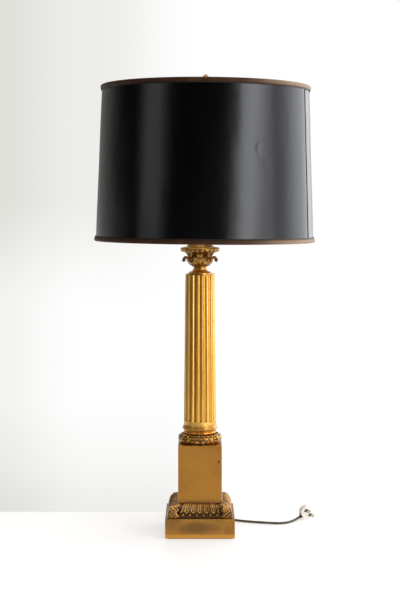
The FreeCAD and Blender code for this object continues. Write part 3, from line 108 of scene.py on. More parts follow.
class Signal:
    """One output of a shader node. Arithmetic on signals adds the nodes that work it out."""

    def __init__(self, finish, socket):
        self.finish = finish
        self.socket = socket

    def math(self, operation, *others):
        return self.finish.node("ShaderNodeMath", dict(enumerate((self,) + others)), operation=operation)

    def __add__(self, other):
        return self.math("ADD", other)

    def __sub__(self, other):
        return self.math("SUBTRACT", other)

    def __mul__(self, other):
        return self.math("MULTIPLY", other)

    def __truediv__(self, other):
        return self.math("DIVIDE", other)

    def __rsub__(self, other):
        return self.math("MULTIPLY", -1).math("ADD", other)

    __radd__ = __add__
    __rmul__ = __mul__

    def between(self, low, high):
        """0 below low, 1 above high, smooth in between. The two may be given the other way round."""
        values = {"Value": self, "From Min": low, "From Max": high}
        return self.finish.node("ShaderNodeMapRange", values, interpolation_type="SMOOTHSTEP")


class Finish:
    """A procedural material on a Principled shader, in the frame's own coordinates, in metres."""

    def __init__(self, name, **uniform):
        self.material = bpy.data.materials.new(name)
        self.material.use_nodes = True
        self.shader = self.material.node_tree.nodes["Principled BSDF"]
        for socket, value in uniform.items():
            self.shader.inputs[socket.replace("_", " ")].default_value = value
        self.start(self.material.node_tree, "Object")

    def start(self, tree, coordinates):
        """The place on the surface and its three parts, x, y and z."""
        self.tree = tree
        self.place = self.node("ShaderNodeTexCoord", pick=coordinates)
        axes = tree.nodes.new("ShaderNodeSeparateXYZ")
        tree.links.new(self.place.socket, axes.inputs[0])
        self.x, self.y, self.z = (Signal(self, output) for output in axes.outputs)

    def node(self, kind, values=None, pick=0, **settings):
        """Any node: its settings, the values or signals of its inputs, and the output that is picked."""
        made = self.tree.nodes.new(kind)
        for name, value in settings.items():
            setattr(made, name, value)
        for key, value in (values or {}).items():
            if isinstance(value, Signal):
                self.tree.links.new(value.socket, made.inputs[key])
            else:
                made.inputs[key].default_value = value
        return Signal(self, made.outputs[pick])

    def stretched(self, stretch):
        return self.node("ShaderNodeVectorMath", {0: self.place, 1: stretch}, operation="MULTIPLY")

    def noise(self, scale, detail=4, stretch=(1, 1, 1), **values):
        values = {"Vector": self.stretched(stretch), "Scale": scale, "Detail": detail, **values}
        return self.node("ShaderNodeTexNoise", values)

    def cells(self, scale, stretch=(1, 1, 1)):
        return self.node("ShaderNodeTexVoronoi", {"Vector": self.stretched(stretch), "Scale": scale})

    def blend(self, amount, first, second):
        """Mixes two colours, each a triple or a signal."""
        first, second = (tuple(c) + (1,) if isinstance(c, tuple) else c for c in (first, second))
        values = {0: amount, 6: first, 7: second}
        return self.node("ShaderNodeMix", values, pick=2, data_type="RGBA")

    def relief(self):
        """The height that a carved piece's mesh carries, from 0 in its hollows to 1 on its crests."""
        return self.node("ShaderNodeAttribute", pick="Fac", attribute_name="relief")

    def feed(self, **signals):
        """Links signals to the shader's sockets of these names."""
        for socket, signal in signals.items():
            self.tree.links.new(signal.socket, self.shader.inputs[socket.replace("_", " ")])
        return self

    def bumps(self, height, distance, strength=1.0):
        values = {"Height": height, "Distance": distance, "Strength": strength}
        return self.feed(Normal=self.node("ShaderNodeBump", values))

    def dress(self, *wearers):
        """Puts the material on pieces, or on CAD nodes by name."""
        for wearer in wearers:
            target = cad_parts[wearer] if isinstance(wearer, str) else wearer
            target.data.materials.clear()
            target.data.materials.append(self.material)
        return self


flex = Finish("olive_flex", Roughness=0.42, IOR=1.48)
grime = flex.noise(90, 5).between(0.42, 0.68)
flex.feed(Base_Color=flex.blend(grime, (0.060, 0.049, 0.026), (0.105, 0.085, 0.048)))
flex.feed(Roughness=flex.noise(260, 3) * 0.25 + 0.3)
flex.bumps(flex.noise(1400, 2), 0.00012).dress(lead, "inner_lead")

# ---------------------------------------------------------------- studio
# White table before a pale wall, made as one plain floor that glows like the wall beyond the table's
# back edge. The wall is white at the right; its grey at the left and towards its top is painted shade.
table_back = 0.146
lit_from = -0.7                 # left of this the table is painted dark as the room's shade, out of view


class Sky(Finish):
    """The same helper for the world's own nodes, where the place is a direction."""

    def __init__(self, tree):
        self.start(tree, "Generated")


def shaded_wall_colour(made, aside, below):
    """The wall's colour by its slopes to the right and downwards from the place of the camera. Its grey
    at the left, towards the top and at its foot is painted shade.
    """
    top = below.between(0.085, -0.01) * aside.between(0.0, -0.08) * 0.15
    left = aside.between(-0.085, -0.165) * 0.11
    shade_line = below.between(0.145, 0.20) * 0.4 + below.between(0.19, 0.238) * 0.6
    foot = aside.between(0.025, -0.035) * shade_line * 0.14
    return made.blend((top + left + foot) / 0.3, (1.0, 1.0, 1.0), (0.70, 0.691, 0.646))


floor_mesh = bpy.data.meshes.new("floor")
floor_mesh.from_pydata([(-30, -6, 0), (30, -6, 0), (30, 40, 0), (-30, 40, 0)], [], [(0, 1, 2, 3)])
floor = bpy.data.objects.new("floor", floor_mesh)
bpy.context.scene.collection.objects.link(floor)
table = Finish("white_table", Roughness=0.36, Specular_IOR_Level=0.3, Emission_Strength=1.0)
paper_white = table.noise(6, 3).between(0.3, 0.7)
top_colour = table.blend(paper_white, (0.60, 0.60, 0.60), (0.62, 0.615, 0.605))
lit = table.x.between(lit_from - 0.6, lit_from)
table.feed(Base_Color=table.blend(lit, (0.10, 0.095, 0.09), top_colour))
table.feed(Emission_Color=table.blend(lit, (0.02, 0.0198, 0.0195), (0.46, 0.4554, 0.4485)))
from_camera = table.y + eye_back
wall = shaded_wall_colour(table, table.x / from_camera, from_camera.math("POWER", -1.0) * eye_up)
glow = table.node("ShaderNodeEmission", {"Color": wall, "Strength": 1.0})
behind = table.y.between(table_back, table_back + 0.0015)
lit_table = Signal(table, table.shader.outputs[0])
mixed = table.node("ShaderNodeMixShader", {0: behind, 1: lit_table, 2: glow})
table.tree.links.new(mixed.socket, table.tree.nodes["Material Output"].inputs["Surface"])
table.dress(floor)

world = bpy.data.worlds.new("studio")
world.use_nodes = True
bpy.context.scene.world = world
dark = (0.012, 0.012, 0.012)
sky = Sky(world.node_tree)
seen = shaded_wall_colour(sky, sky.x / sky.y, sky.z / sky.y * -1)
left_wall = sky.blend(sky.y.between(0.10, 0.72), dark, (0.31, 0.30, 0.29))
sides = sky.blend(sky.x.between(-0.35, 0.55), left_wall, (1.10, 1.13, 1.18))
dark_room = sky.y.between(0.15, -0.30) * sky.x.between(-0.95, -0.75)
level = sky.blend(dark_room, sides, dark)
light = sky.blend(sky.z.between(0.50, 0.85), level, (0.80, 0.80, 0.80))
by_camera = sky.node("ShaderNodeLightPath", pick="Is Camera Ray")
background = world.node_tree.nodes["Background"]
world.node_tree.links.new(sky.blend(by_camera, light, seen).socket, background.inputs["Color"])


def soft_light(name, place, target, wide, tall, brightness, lean=0):
    """A soft rectangle of light of this brightness, where a white table in full light has nearly 1.
    Lean turns it about the line to its target, in degrees."""
    data = bpy.data.lights.new(name, "AREA")
    data.shape = "RECTANGLE"
    data.size = wide
    data.size_y = tall
    data.energy = brightness * math.pi * wide * tall
    lamp = bpy.data.objects.new(name, data)
    lamp.location = place
    aimed = (Vector(target) - Vector(place)).to_track_quat("-Z", "Y").to_matrix()
    lamp.rotation_euler = (aimed @ Matrix.Rotation(math.radians(lean), 3, "Z")).to_euler()
    lamp.visible_camera = False
    bpy.context.scene.collection.objects.link(lamp)


mid_column = (0, 0, 0.5)
soft_light("window_right", (1.70, -1.68, 0.85), mid_column, 0.85, 1.9, 5.0, lean=-30)
soft_light("window_middle", (2.20, -1.00, 0.80), mid_column, 0.7, 1.9, 2.2)
soft_light("window_side", (2.60, 0.05, 0.75), mid_column, 1.3, 1.9, 0.65)
soft_light("wall_right", (2.00, 1.45, 0.75), mid_column, 2.3, 1.9, 1.35)
soft_light("fill_left", (-1.97, -1.38, 1.05), (0, 0, 0.65), 1.0, 1.15, 0.95, lean=-12)
soft_light("overhead", (0.2, -0.6, 2.6), (0, 0, 0.2), 1.6, 1.2, 3.2)


# ---------------------------------------------------------------- felt pad
# Dark green pressed felt, 1.5 mm thick, cut to the plinth's outline and glued under it. It keeps the
# metal off the table, and its cut edge is a little uneven.
def lamp_piece(name, body, columns, rows, place, around=True, capped=False):
    """A skin over a grid of points; place(column, row) gives x, y, z in mm and the relief there."""
    points, heights, faces = [], [], []
    for row in range(rows):
        for column in range(columns):
            x, y, z, height = place(column, row)
            points.append((x * MM, y * MM, z * MM))
            heights.append(height)
    for row in range(rows - 1):
        for column in range(columns if around else columns - 1):
            low, high = row * columns, (row + 1) * columns
            following = (column + 1) % columns
            faces.append((low + column, low + following, high + following, high + column))
    if capped:
        faces.append(tuple(reversed(range(columns))))
        faces.append(tuple(range((rows - 1) * columns, rows * columns)))
    mesh = bpy.data.meshes.new(name)
    mesh.from_pydata(points, [], faces)
    mesh.attributes.new("relief", "FLOAT", "POINT").data.foreach_set("value", heights)
    mesh.polygons.foreach_set("use_smooth", [True] * len(faces))
    mesh.set_sharp_from_angle(angle=math.radians(48))
    mesh.update()
    piece = bpy.data.objects.new(name, mesh)
    bpy.context.scene.collection.objects.link(piece)
    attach(piece, body)
    return piece


felt_columns = 160
felt_half = 60.3
felt_corner = 84                # the corners are cut back to this reach
felt_levels = (0.0, 0.25, 1.25, 1.5)
felt_insets = (0.5, 0.05, 0.0, 0.35)


def felt_place(column, row):
    angle = 2 * math.pi * (column + 0.5) / felt_columns
    square = felt_half / max(abs(math.cos(angle)), abs(math.sin(angle)))
    uneven = 0.25 * noise.noise(Vector((math.cos(angle), math.sin(angle), 0.3)) * 9)
    reach = min(square, felt_corner) + uneven - felt_insets[row]
    return reach * math.cos(angle), reach * math.sin(angle), felt_levels[row], 0.5


felt = lamp_piece("felt_sheet", "stand", felt_columns, len(felt_levels), felt_place, capped=True)
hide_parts("felt_pad")
green = Finish("green_felt", Roughness=0.95, Sheen_Weight=0.4)
fibres = green.noise(700, 6, Roughness=0.8)
tufts = fibres.between(0.35, 0.7)
green.feed(Base_Color=green.blend(tufts, (0.012, 0.030, 0.016), (0.035, 0.066, 0.040)))
green.bumps(fibres, 0.0006).dress(felt)


# ---------------------------------------------------------------- plinth
# Cast brass box with four plain sides, gilt and lacquered like all the castings of the column. Its faces
# are darker in the middle, a painted reflection of the dark room, with painted shade towards the left,
# and the strip over its foot is lighter.
def gilt(name, gold, brown, rough, cloud, hollow_or_shade=None, edge=None, grain=(1, 1, 1), speck=0.3,
         deep=0.00022, lacquer=0.3):
    """Lacquered gilt brass: gold, brown in clouds, specks and hollows, and bright where it is rubbed.

    rough is the least roughness and cloud the fineness of the brown clouds. hollow and edge give signals
    for hollows and rubbed edges; on some pieces they carry painted shade, a painted reflection and a
    painted highlight instead. speck is the strength of the small spots, deep the depth of the tool
    marks, which grain stretches, and lacquer the weight of the clear coat."""
    made = Finish(name, Metallic=0.94, Coat_Weight=lacquer, Coat_Roughness=0.12, Coat_IOR=1.45)
    patches = made.noise(cloud, 4, Roughness=0.5).between(0.38, 0.72)
    specks = made.noise(cloud * 14, 3).between(0.60, 0.74)
    dulling_and_shade = (patches * 0.5 + specks * speck).math("MINIMUM", 1.0)
    if hollow_or_shade:
        dulling_and_shade = dulling_and_shade.math("MAXIMUM", hollow_or_shade(made))
    made.colour = made.blend(dulling_and_shade, gold, brown)
    roughness = made.noise(cloud * 3, 4) * 0.16 + rough
    if edge:
        lightened = edge(made)
        bright = tuple(min(1.0, channel * 1.45) for channel in gold)
        made.colour = made.blend(lightened, made.colour, bright)
        roughness = roughness - lightened * 0.08
    made.feed(Base_Color=made.colour, Roughness=roughness)
    tool_marks = made.noise(900, 2, grain)
    made.bumps(tool_marks * 0.35 + made.noise(cloud * 6, 5) * 0.65, deep, 0.6)
    return made


def painted_reflection_and_shade(made):
    """A cloudy dark patch in the middle of each side, a painted reflection of the dark room, and painted
    shade towards the left.
    """
    aside = made.x.math("ABSOLUTE").math("MINIMUM", made.y.math("ABSOLUTE")) / 0.040
    up = (made.z - 0.0205) / 0.0125
    ragged = made.noise(45, 4) * 0.9 - 0.45
    patch = ((aside * aside + up * up).math("SQRT") + ragged).between(1.35, 0.35)
    return patch * 0.62 + made.x.between(0.05, -0.06) * 0.16


def bright_foot(made):
    return made.z.between(0.0105, 0.0060) * 0.9


gilt("plinth_gilt", gold=(0.44, 0.205, 0.032), brown=(0.105, 0.052, 0.016), rough=0.30, cloud=26,
     hollow_or_shade=painted_reflection_and_shade, edge=bright_foot, grain=(1, 1, 5)).dress("plinth")

# ---------------------------------------------------------------- base weight
# Rough iron casting that lies inside the plinth and keeps the tall lamp upright. It is left as it came
# from the sand, and the felt hides it.
iron = Finish("cast_iron_skin", Metallic=0.7)
grit = iron.cells(420).between(0.1, 0.6)
iron.feed(Base_Color=iron.blend(grit, (0.03, 0.028, 0.026), (0.09, 0.085, 0.08)))
iron.feed(Roughness=iron.noise(120, 4) * 0.3 + 0.55)
iron.bumps(iron.noise(500, 5), 0.0005).dress("base_weight")

# ---------------------------------------------------------------- leaf collar
# Cast quarter-round moulding: five tongues with beads at their feet on each side, darts between them
# and an acanthus leaf folded over each corner. One carved skin that stands for the CAD solid.
collar_rows = 64
collar_side = 240               # columns along one side
foot_half = 57.5                # half-widths: of the foot, the swell's top, the band and the hole
swell_half = 42.5
band_half = 41.6
hole_half = 7.6
collar_foot = 36.5              # heights: of the foot, the swell's two ends and the top
swell_foot = 38
swell_top = 61.5
collar_top = 64.5
foot_end, swell_end, ledge_end, band_end = 0.06, 0.86, 0.90, 0.97      # shares of the rows
swell_length = 29               # measured up the curve
pattern_half = 59               # half-width of a side where the pattern is laid out
leaf_start = 36.6               # from here to the corner lies the leaf
tongue_pitch = 12.8
tongue_half = 5.1
tongue_foot = 5.2               # each tongue's round foot lies this far up the swell


def smooth_step(value):
    value = max(0.0, min(1.0, value))
    return value * value * (3 - 2 * value)


def collar_profile(row):
    """Half-width, height, outward lean and share of the way up the swell, which is -1 above it."""
    share = row / (collar_rows - 1)
    if share < foot_end:
        return foot_half, collar_foot + (swell_foot - collar_foot) * share / foot_end, 0.0, 0.0
    if share < swell_end:
        part = (share - foot_end) / (swell_end - foot_end)
        lean = part * math.pi / 2
        half = swell_half + (foot_half - swell_half) * math.cos(lean)
        return half, swell_foot + (swell_top - swell_foot) * math.sin(lean), lean, part
    if share < ledge_end:
        part = (share - swell_end) / (ledge_end - swell_end)
        return swell_half - (swell_half - band_half) * part, swell_top, math.pi / 2, -1
    if share < band_end:
        part = (share - ledge_end) / (band_end - ledge_end)
        return band_half, swell_top + (collar_top - swell_top) * part, 0.0, -1
    part = (share - band_end) / (1 - band_end)
    return band_half - (band_half - hole_half) * part, collar_top, math.pi / 2, -1


def tongues(side, up):
    """Carving height of the tongues, their beads and the darts, at a distance from the side's middle."""
    off = (side + tongue_pitch / 2) % tongue_pitch - tongue_pitch / 2
    middle = tongue_foot + tongue_half
    inner = tongue_half - (abs(off) if up > middle else math.hypot(off, middle - up))
    rim = smooth_step(inner / 0.9) * (1 - 0.70 * smooth_step((inner - 1.3) / 1.4))
    belly = smooth_step((inner - 3.3) / 1.2) * 0.75
    between = abs(off) - tongue_pitch / 2
    bead = smooth_step(1.7 - math.hypot(between, up - 3.4) / 1.2) * 0.95
    dart = smooth_step((0.8 - abs(between)) / 0.4) * smooth_step((up - 6) / 3) * 0.35
    return max(rim, belly, bead, dart)


def corner_leaf(reach, part):
    """Carving height of the leaf's lobed outline and its veins, from its start to the corner."""
    wave = 0.5 + 0.5 * math.cos(2 * math.pi * (part * 3.3 - reach * 0.9))
    border = 0.10 + 0.24 * part + 0.16 * (1 - wave)
    veins = 0.5 + 0.5 * math.cos(2 * math.pi * (part * 6.6 - reach * 2.6))
    leaf = smooth_step((reach - border) / 0.10)
    return leaf * (0.62 + 0.38 * veins * smooth_step((1.0 - reach) * 4))


def collar_place(column, row):
    half, up, lean, part = collar_profile(row)
    quarter, step = divmod(column, collar_side)
    share = 2 * (step / collar_side) - 1
    side = abs(share * pattern_half)
    if part < 0 or row == 0:
        carved = 0.0
    elif side < leaf_start:
        carved = tongues(side, part * swell_length)
    else:
        carved = corner_leaf((side - leaf_start) / (pattern_half - leaf_start), part)
    depth = (2.5 if abs(share * half) > 33.4 else 1.8) * carved
    depth *= smooth_step(row / 3) * (1 - smooth_step((part - 0.95) / 0.05))
    out = half + depth * math.cos(lean)
    up += depth * math.sin(lean) * 0.5
    along = share * out
    turn = quarter * math.pi / 2
    x = along * math.cos(turn) + out * math.sin(turn)
    y = along * math.sin(turn) - out * math.cos(turn)
    return x, y, up, 0.15 + 0.85 * carved if part >= 0 else 0.9


collar = lamp_piece("carved_collar", "stand", collar_side * 4, collar_rows, collar_place)
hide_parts("leaf_collar")
gilt("collar_gilt", gold=(0.37, 0.185, 0.045), brown=(0.045, 0.018, 0.003), rough=0.26, cloud=60,
     hollow_or_shade=lambda made: made.relief().between(0.62, 0.10) * 0.92,
     edge=lambda made: made.relief().between(0.82, 1.0) * 0.8).dress(collar)


# ---------------------------------------------------------------- pedestal
# Plain cast square box, evenly gilt, with cloudy wear, a darker line where it meets the collar and one
# small round stain near the front's right edge.
def worn_edges(made):
    """1 along the upright edges and the top and bottom edges of the box, broken up by wear."""
    half, low, high, wide = 0.04025, 0.0645, 0.1655, 0.0014
    across = made.x.math("ABSOLUTE").math("MINIMUM", made.y.math("ABSOLUTE"))
    wear_and_shade = across.between(half - wide, half)
    wear_and_shade = wear_and_shade.math("MAXIMUM", made.z.between(high - wide, high))
    wear_and_shade = wear_and_shade.math("MAXIMUM", made.z.between(low + wide, low))
    return wear_and_shade * made.noise(160, 3).between(0.3, 0.6)


box_gilt = gilt("pedestal_gilt", gold=(0.45, 0.200, 0.027), brown=(0.30, 0.125, 0.015), rough=0.30,
                cloud=20, hollow_or_shade=lambda made: made.z.between(0.0665, 0.0645) * 0.8, edge=worn_edges,
                grain=(1, 1, 4)).dress("pedestal")
aside, above = box_gilt.x - 0.0345, box_gilt.z - 0.1357
spot = (aside * aside + above * above).math("SQRT").between(0.0028, 0.0012)
spot = spot * (box_gilt.y * -1).between(0.030, 0.038)
box_gilt.feed(Base_Color=box_gilt.blend(spot, box_gilt.colour, (0.10, 0.022, 0.006)))

# ---------------------------------------------------------------- laurel wreath
# Cast ring of overlapping laurel leaves that point away from four crossed ribbons. The leaves are
# raised from one ring-shaped skin that stands for the CAD ring.
wreath_columns = 720
wreath_rows = 60
wreath_lanes = 7                # rows of leaves round the ring's section
wreath_leaf = 15                # degrees from leaf to leaf
ring_radius = 32.65
ring_level = 174.25
ring_core = 6.55                # radius of the section under the leaves
ring_carving = 2.1
ring_seat, ring_crown = 165.55, 182.95         # cut flat at both levels


def laurel(column, row):
    angle = 2 * math.pi * column / wreath_columns
    section = 2 * math.pi * row / (wreath_rows - 1) + math.pi
    quarter = (math.degrees(angle) + 45) % 90
    from_ribbon = min(quarter, 90 - quarter)
    lane, across = divmod(section / (2 * math.pi) * wreath_lanes, 1)
    across = abs(across - 0.5)
    run = (from_ribbon / wreath_leaf + 0.5 * (lane % 2)) % 1.0
    outline = 0.47 * math.sin(math.pi * (0.16 + 0.84 * run) ** 0.8) ** 0.7
    leaf = smooth_step((outline - across) / 0.16) * (0.50 + 0.50 * run)
    leaf *= 1 - 0.35 * smooth_step(1 - across / 0.08)
    crossing = from_ribbon * 0.69
    climb = abs(((section / math.pi) % 2 - 1) * 9.5)
    slant = min(abs(crossing - climb), abs(crossing + 1.2 - climb))
    ribbon = smooth_step((1.5 - slant) / 0.5)
    height = max(leaf * (1 - 0.8 * ribbon), ribbon * 0.9)
    reach = ring_core + ring_carving * height
    radius = ring_radius + reach * math.cos(section)
    level = max(ring_seat, min(ring_crown, ring_level + reach * math.sin(section)))
    return radius * math.cos(angle), radius * math.sin(angle), level, height


wreath = lamp_piece("laurel_ring", "stand", wreath_columns, wreath_rows, laurel)
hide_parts("laurel_wreath")
gilt("wreath_gilt", gold=(0.50, 0.255, 0.050), brown=(0.085, 0.038, 0.007), rough=0.24, cloud=70,
     hollow_or_shade=lambda made: made.relief().between(0.62, 0.15) * 0.95,
     edge=lambda made: made.relief().between(0.70, 0.95) * 0.7).dress(wreath)

# ---------------------------------------------------------------- column
# Turned base and fluted shaft, both brass and held on the pedestal by the centre rod. They are gilt more
# brightly than the foot, with a painted highlight on the fillet over the wreath and painted shade
# down the flutes.
shaft_foot, shaft_head = 0.200, 0.478
foot_radius, head_radius = 0.0300, 0.0271
flute_depth = 0.0021


def flute_shade(made):
    """Painted shade in the flutes, which grows with the distance below the shaft's tapering skin."""
    radius = (made.x * made.x + made.y * made.y).math("SQRT")
    taper = (head_radius - foot_radius) / (shaft_head - shaft_foot)
    surface = (made.z - shaft_foot) * taper + foot_radius
    return (surface - radius).between(flute_depth * 0.25, flute_depth) * 0.85


# The base's edge signal paints a highlight on the fillet over the wreath.
gilt("base_gilt", gold=(0.62, 0.31, 0.054), brown=(0.20, 0.085, 0.012), rough=0.20, cloud=40,
     edge=lambda made: made.z.between(0.1885, 0.1865), grain=(1, 1, 9), speck=0.15,
     deep=0.00012).dress("column_base")
gilt("shaft_gilt", gold=(0.79, 0.472, 0.116), brown=(0.47, 0.190, 0.010), rough=0.25, cloud=18,
     hollow_or_shade=flute_shade, grain=(6, 6, 0.04), speck=0.05, deep=0.00001, lacquer=0.02).dress("column_shaft")

# ---------------------------------------------------------------- capital
# Turned waist, a cast bell with six acanthus leaves that curl outwards, and a gadrooned pan under a
# domed cover. The rod runs through all of them, and the leaves are cast with their bell.
gilt("waist_gilt", gold=(0.66, 0.33, 0.065), brown=(0.16, 0.065, 0.010), rough=0.20, cloud=60,
     hollow_or_shade=lambda made: made.z.between(0.4812, 0.4797) * 0.6).dress("capital_foot", "shaft_cap")

bowl_foot = 491.6
bowl_high = 23.4
bead_radii = (11.5, 12.7, 13.1, 13.0, 12.7)    # the turned bead under the bell, from its seat up
bead_high = 2.4
bell_columns = 360
bell_rows = 30
bell_radius = 12.7
bell_spread = 9.9               # how much wider the bell is at its lip
bell_high = 14.1
lip_high = 20.5                 # above this the wall spreads to meet the pan
leaf_count = 6
leaf_rows = 48
leaf_columns = 40


def bell(column, row):
    """Plain bell of the bowl, with a shallow dart between each two leaves."""
    if row < len(bead_radii):
        up = bead_high * row / (len(bead_radii) - 1)
    else:
        up = bead_high + (row - len(bead_radii) + 1) * 0.85
    rise = max(0.0, min(1.0, (up - bead_high) / bell_high))
    radius = bell_radius + bell_spread * math.sin(rise * math.pi / 2)
    if row < len(bead_radii):
        radius = bead_radii[row]
    radius += max(0.0, up - lip_high) * 0.5
    angle = 2 * math.pi * column / bell_columns
    off = (math.degrees(angle) + 30) % 60 - 30
    to_dart = 30 - abs(off)
    dart_wide = 6.0 * max(0.0, math.sin(math.pi * min(1, rise * 1.1))) + 0.01
    dart = smooth_step((dart_wide - to_dart) / 2.5) if 0 < rise < 1 else 0.0
    height = dart * (0.55 + 0.45 * smooth_step(1 - to_dart / 1.6))
    radius += 1.3 * height
    level = bowl_foot + min(up, bowl_high)
    return radius * math.cos(angle), radius * math.sin(angle), level, 0.25 + 0.6 * height


# radius and height above the bowl's foot, from the leaf's root over its curl to the tip
leaf_line = [Vector(point) for point in (
    (12.9, 2.6), (16.0, 4.0), (20.2, 7.4), (22.6, 11.0), (23.2, 13.8), (24.2, 15.7), (26.0, 16.4),
    (27.8, 15.4), (28.4, 13.0), (27.9, 10.8))]


def on_leaf(share):
    """A point of the leaf's middle line, smooth through its points, and its outward side."""
    last = len(leaf_line) - 1
    place = share * last
    index = min(int(place), last - 1)
    part = place - index
    p = [leaf_line[max(0, min(last, index + shift))] for shift in (-1, 0, 1, 2)]
    point = 0.5 * ((2 * p[1]) + (p[2] - p[0]) * part
                   + (2 * p[0] - 5 * p[1] + 4 * p[2] - p[3]) * part ** 2
                   + (3 * p[1] - p[0] - 3 * p[2] + p[3]) * part ** 3)
    run = (p[2] - p[1]).normalized()
    return point, Vector((run.y, -run.x))


def leaf_half(share):
    """Half-width of the leaf, with its lobes and its rounded tip."""
    lobes = 0.84 + 0.16 * math.cos(share * 2 * math.pi * 5.5)
    half = (3.0 + 5.0 * math.sin(math.pi * min(1.0, share * 1.25) * 0.62)) * lobes
    return half * math.sqrt(max(0.0, 1 - max(0.0, (share - 0.72) / 0.285) ** 2))


def acanthus(bearing):
    """One leaf that lies on the bell and curls outwards: a rib, side veins and a lobed edge."""
    def place(column, row):
        share = row / (leaf_rows - 1)
        point, out = on_leaf(share)
        turned = 2 * math.pi * column / leaf_columns
        across = math.cos(turned)
        rib = 0.7 * math.exp(-(across / 0.14) ** 2)
        veins = 0.45 * math.cos(abs(across) * 9 - share * 34) * (1 - abs(across)) * (abs(across) > 0.1)
        if math.sin(turned) > 0:
            rise = rib + veins + 0.9
        else:
            rise = -2.6 * smooth_step((share - 0.5) / 0.15)
        rise = rise * smooth_step((1 - abs(across)) * 5) - 0.35
        cupped = -(0.9 + 2.6 * smooth_step((share - 0.45) / 0.3)) * across * across
        reach = point + out * (rise + cupped * smooth_step(share * 1.4))
        side = across * leaf_half(share)
        x = math.sqrt(max(reach.x ** 2 - side ** 2, 1)) if share < 0.5 else reach.x - side * side / 60
        c, s = math.cos(bearing), math.sin(bearing)
        # Painted shade: the curled tips get a low relief, which the leaf's finish darkens.
        wear_and_shade = 1 - 0.75 * smooth_step((share - 0.62) / 0.15)
        relief = (0.35 + (rib + veins) * 0.6) * wear_and_shade
        return x * c - side * s, x * s + side * c, bowl_foot + reach.y, relief
    return place


bowl = lamp_piece("leafy_bell", "stand", bell_columns, bell_rows, bell, capped=True)
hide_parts("capital_bowl")
leaf_gilt = gilt("leaf_gilt", gold=(0.54, 0.28, 0.050), brown=(0.105, 0.044, 0.005), rough=0.24,
                 cloud=80, hollow_or_shade=lambda made: made.relief().between(0.46, 0.15) * 0.8,
                 edge=lambda made: made.relief().between(0.70, 1.0) * 0.5, speck=0.1)
leaf_gilt.dress(bowl)
for number in range(leaf_count):
    bearing = math.radians(360 / leaf_count * number)
    leaf = lamp_piece(f"bowl_leaf_{number + 1}", "stand", leaf_columns, leaf_rows,
                      acanthus(bearing), capped=True)
    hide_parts("capital_bowl")
    leaf_gilt.dress(leaf)


def pan_grooves(made):
    """1 in the 24 grooves under the pan's lip, from the bearing about the column's axis."""
    turned = made.y.math("ARCTAN2", made.x) * (24 / (2 * math.pi))
    off = (turned.math("FRACT") - 0.5).math("ABSOLUTE")
    return off.between(0.34, 0.48) * made.z.between(0.5268, 0.5240) * 0.8


gilt("pan_gilt", gold=(0.37, 0.185, 0.036), brown=(0.060, 0.024, 0.004), rough=0.24, cloud=60,
     hollow_or_shade=pan_grooves).dress("drip_pan")
gilt("cover_gilt", gold=(0.36, 0.185, 0.04), brown=(0.10, 0.045, 0.010), rough=0.3,
     cloud=50).dress("pan_cover", "neck")


# ---------------------------------------------------------------- centre rod
# Threaded steel tube that clamps the whole column between a nut and washer in the plinth and the neck
# under the lamp holder. It is bare steel, and the nut and washer are zinc plated.
def threaded(name, pitch, light_colour, dark_colour, rough):
    """Bare metal with a screw thread in its relief, about an upright axis."""
    made = Finish(name, Metallic=1.0)
    around = made.y.math("ARCTAN2", made.x) / (2 * math.pi)
    ridges = ((made.z / pitch + around).math("FRACT") - 0.5).math("ABSOLUTE") * 2
    made.feed(Base_Color=made.blend(ridges.between(0.1, 0.7), dark_colour, light_colour))
    made.feed(Roughness=made.noise(300, 3) * 0.15 + rough)
    return made.bumps(ridges, pitch * 0.3)


threaded("rod_steel", 0.001, (0.62, 0.62, 0.60), (0.30, 0.30, 0.29), 0.3).dress("threaded_tube")
zinc = Finish("zinc_steel", Metallic=1.0)
spangle = zinc.cells(600)
zinc.feed(Base_Color=zinc.blend(spangle.between(0.1, 0.5), (0.45, 0.46, 0.47), (0.63, 0.64, 0.64)))
zinc.feed(Roughness=zinc.noise(200, 3) * 0.2 + 0.3)
zinc.bumps(zinc.noise(900, 2), 0.0001).dress("rod_nut", "rod_washer")

# ---------------------------------------------------------------- lamp holder
# Stamped brass cap and shell on the neck, a board liner, a porcelain core with its screw shell and
# centre contact, and a moulded turn knob on a brass spindle. The shell snaps into the cap.
holder_pitch = 0.0036
stamped = Finish("stamped_brass", Metallic=1.0)
spun = stamped.noise(500, 3, (0.3, 0.3, 6))
stamped.feed(Base_Color=stamped.blend(spun.between(0.3, 0.7), (0.62, 0.44, 0.17), (0.78, 0.58, 0.26)))
stamped.feed(Roughness=spun * 0.18 + 0.2)
stamped.bumps(spun, 0.0001).dress("socket_cap", "socket_shell")
board = Finish("liner_board", Roughness=0.9)
pulp = board.noise(500, 5, (1, 1, 0.2))
board.feed(Base_Color=board.blend(pulp, (0.12, 0.075, 0.04), (0.26, 0.18, 0.11)))
board.bumps(board.noise(900, 3), 0.0002).dress("socket_liner")
porcelain = Finish("porcelain", Roughness=0.15, Coat_Weight=0.6)
glaze = porcelain.noise(60, 4).between(0.4, 0.7)
porcelain.feed(Base_Color=porcelain.blend(glaze, (0.82, 0.80, 0.75), (0.72, 0.69, 0.62)))
porcelain.bumps(porcelain.noise(200, 3), 0.0002).dress("socket_core")
threaded("holder_thread", holder_pitch, (0.82, 0.62, 0.28), (0.45, 0.30, 0.10),
         0.25).dress("screw_shell")
contact = Finish("contact_brass", Metallic=1.0)
dull = contact.noise(220, 4).between(0.4, 0.7)
contact.feed(Base_Color=contact.blend(dull, (0.80, 0.62, 0.30), (0.55, 0.38, 0.14)))
contact.feed(Roughness=contact.noise(300, 3) * 0.2 + 0.2)
contact.bumps(contact.noise(800, 2), 0.0001).dress("centre_contact", "switch_spindle")
knob = Finish("black_knob", Roughness=0.4)
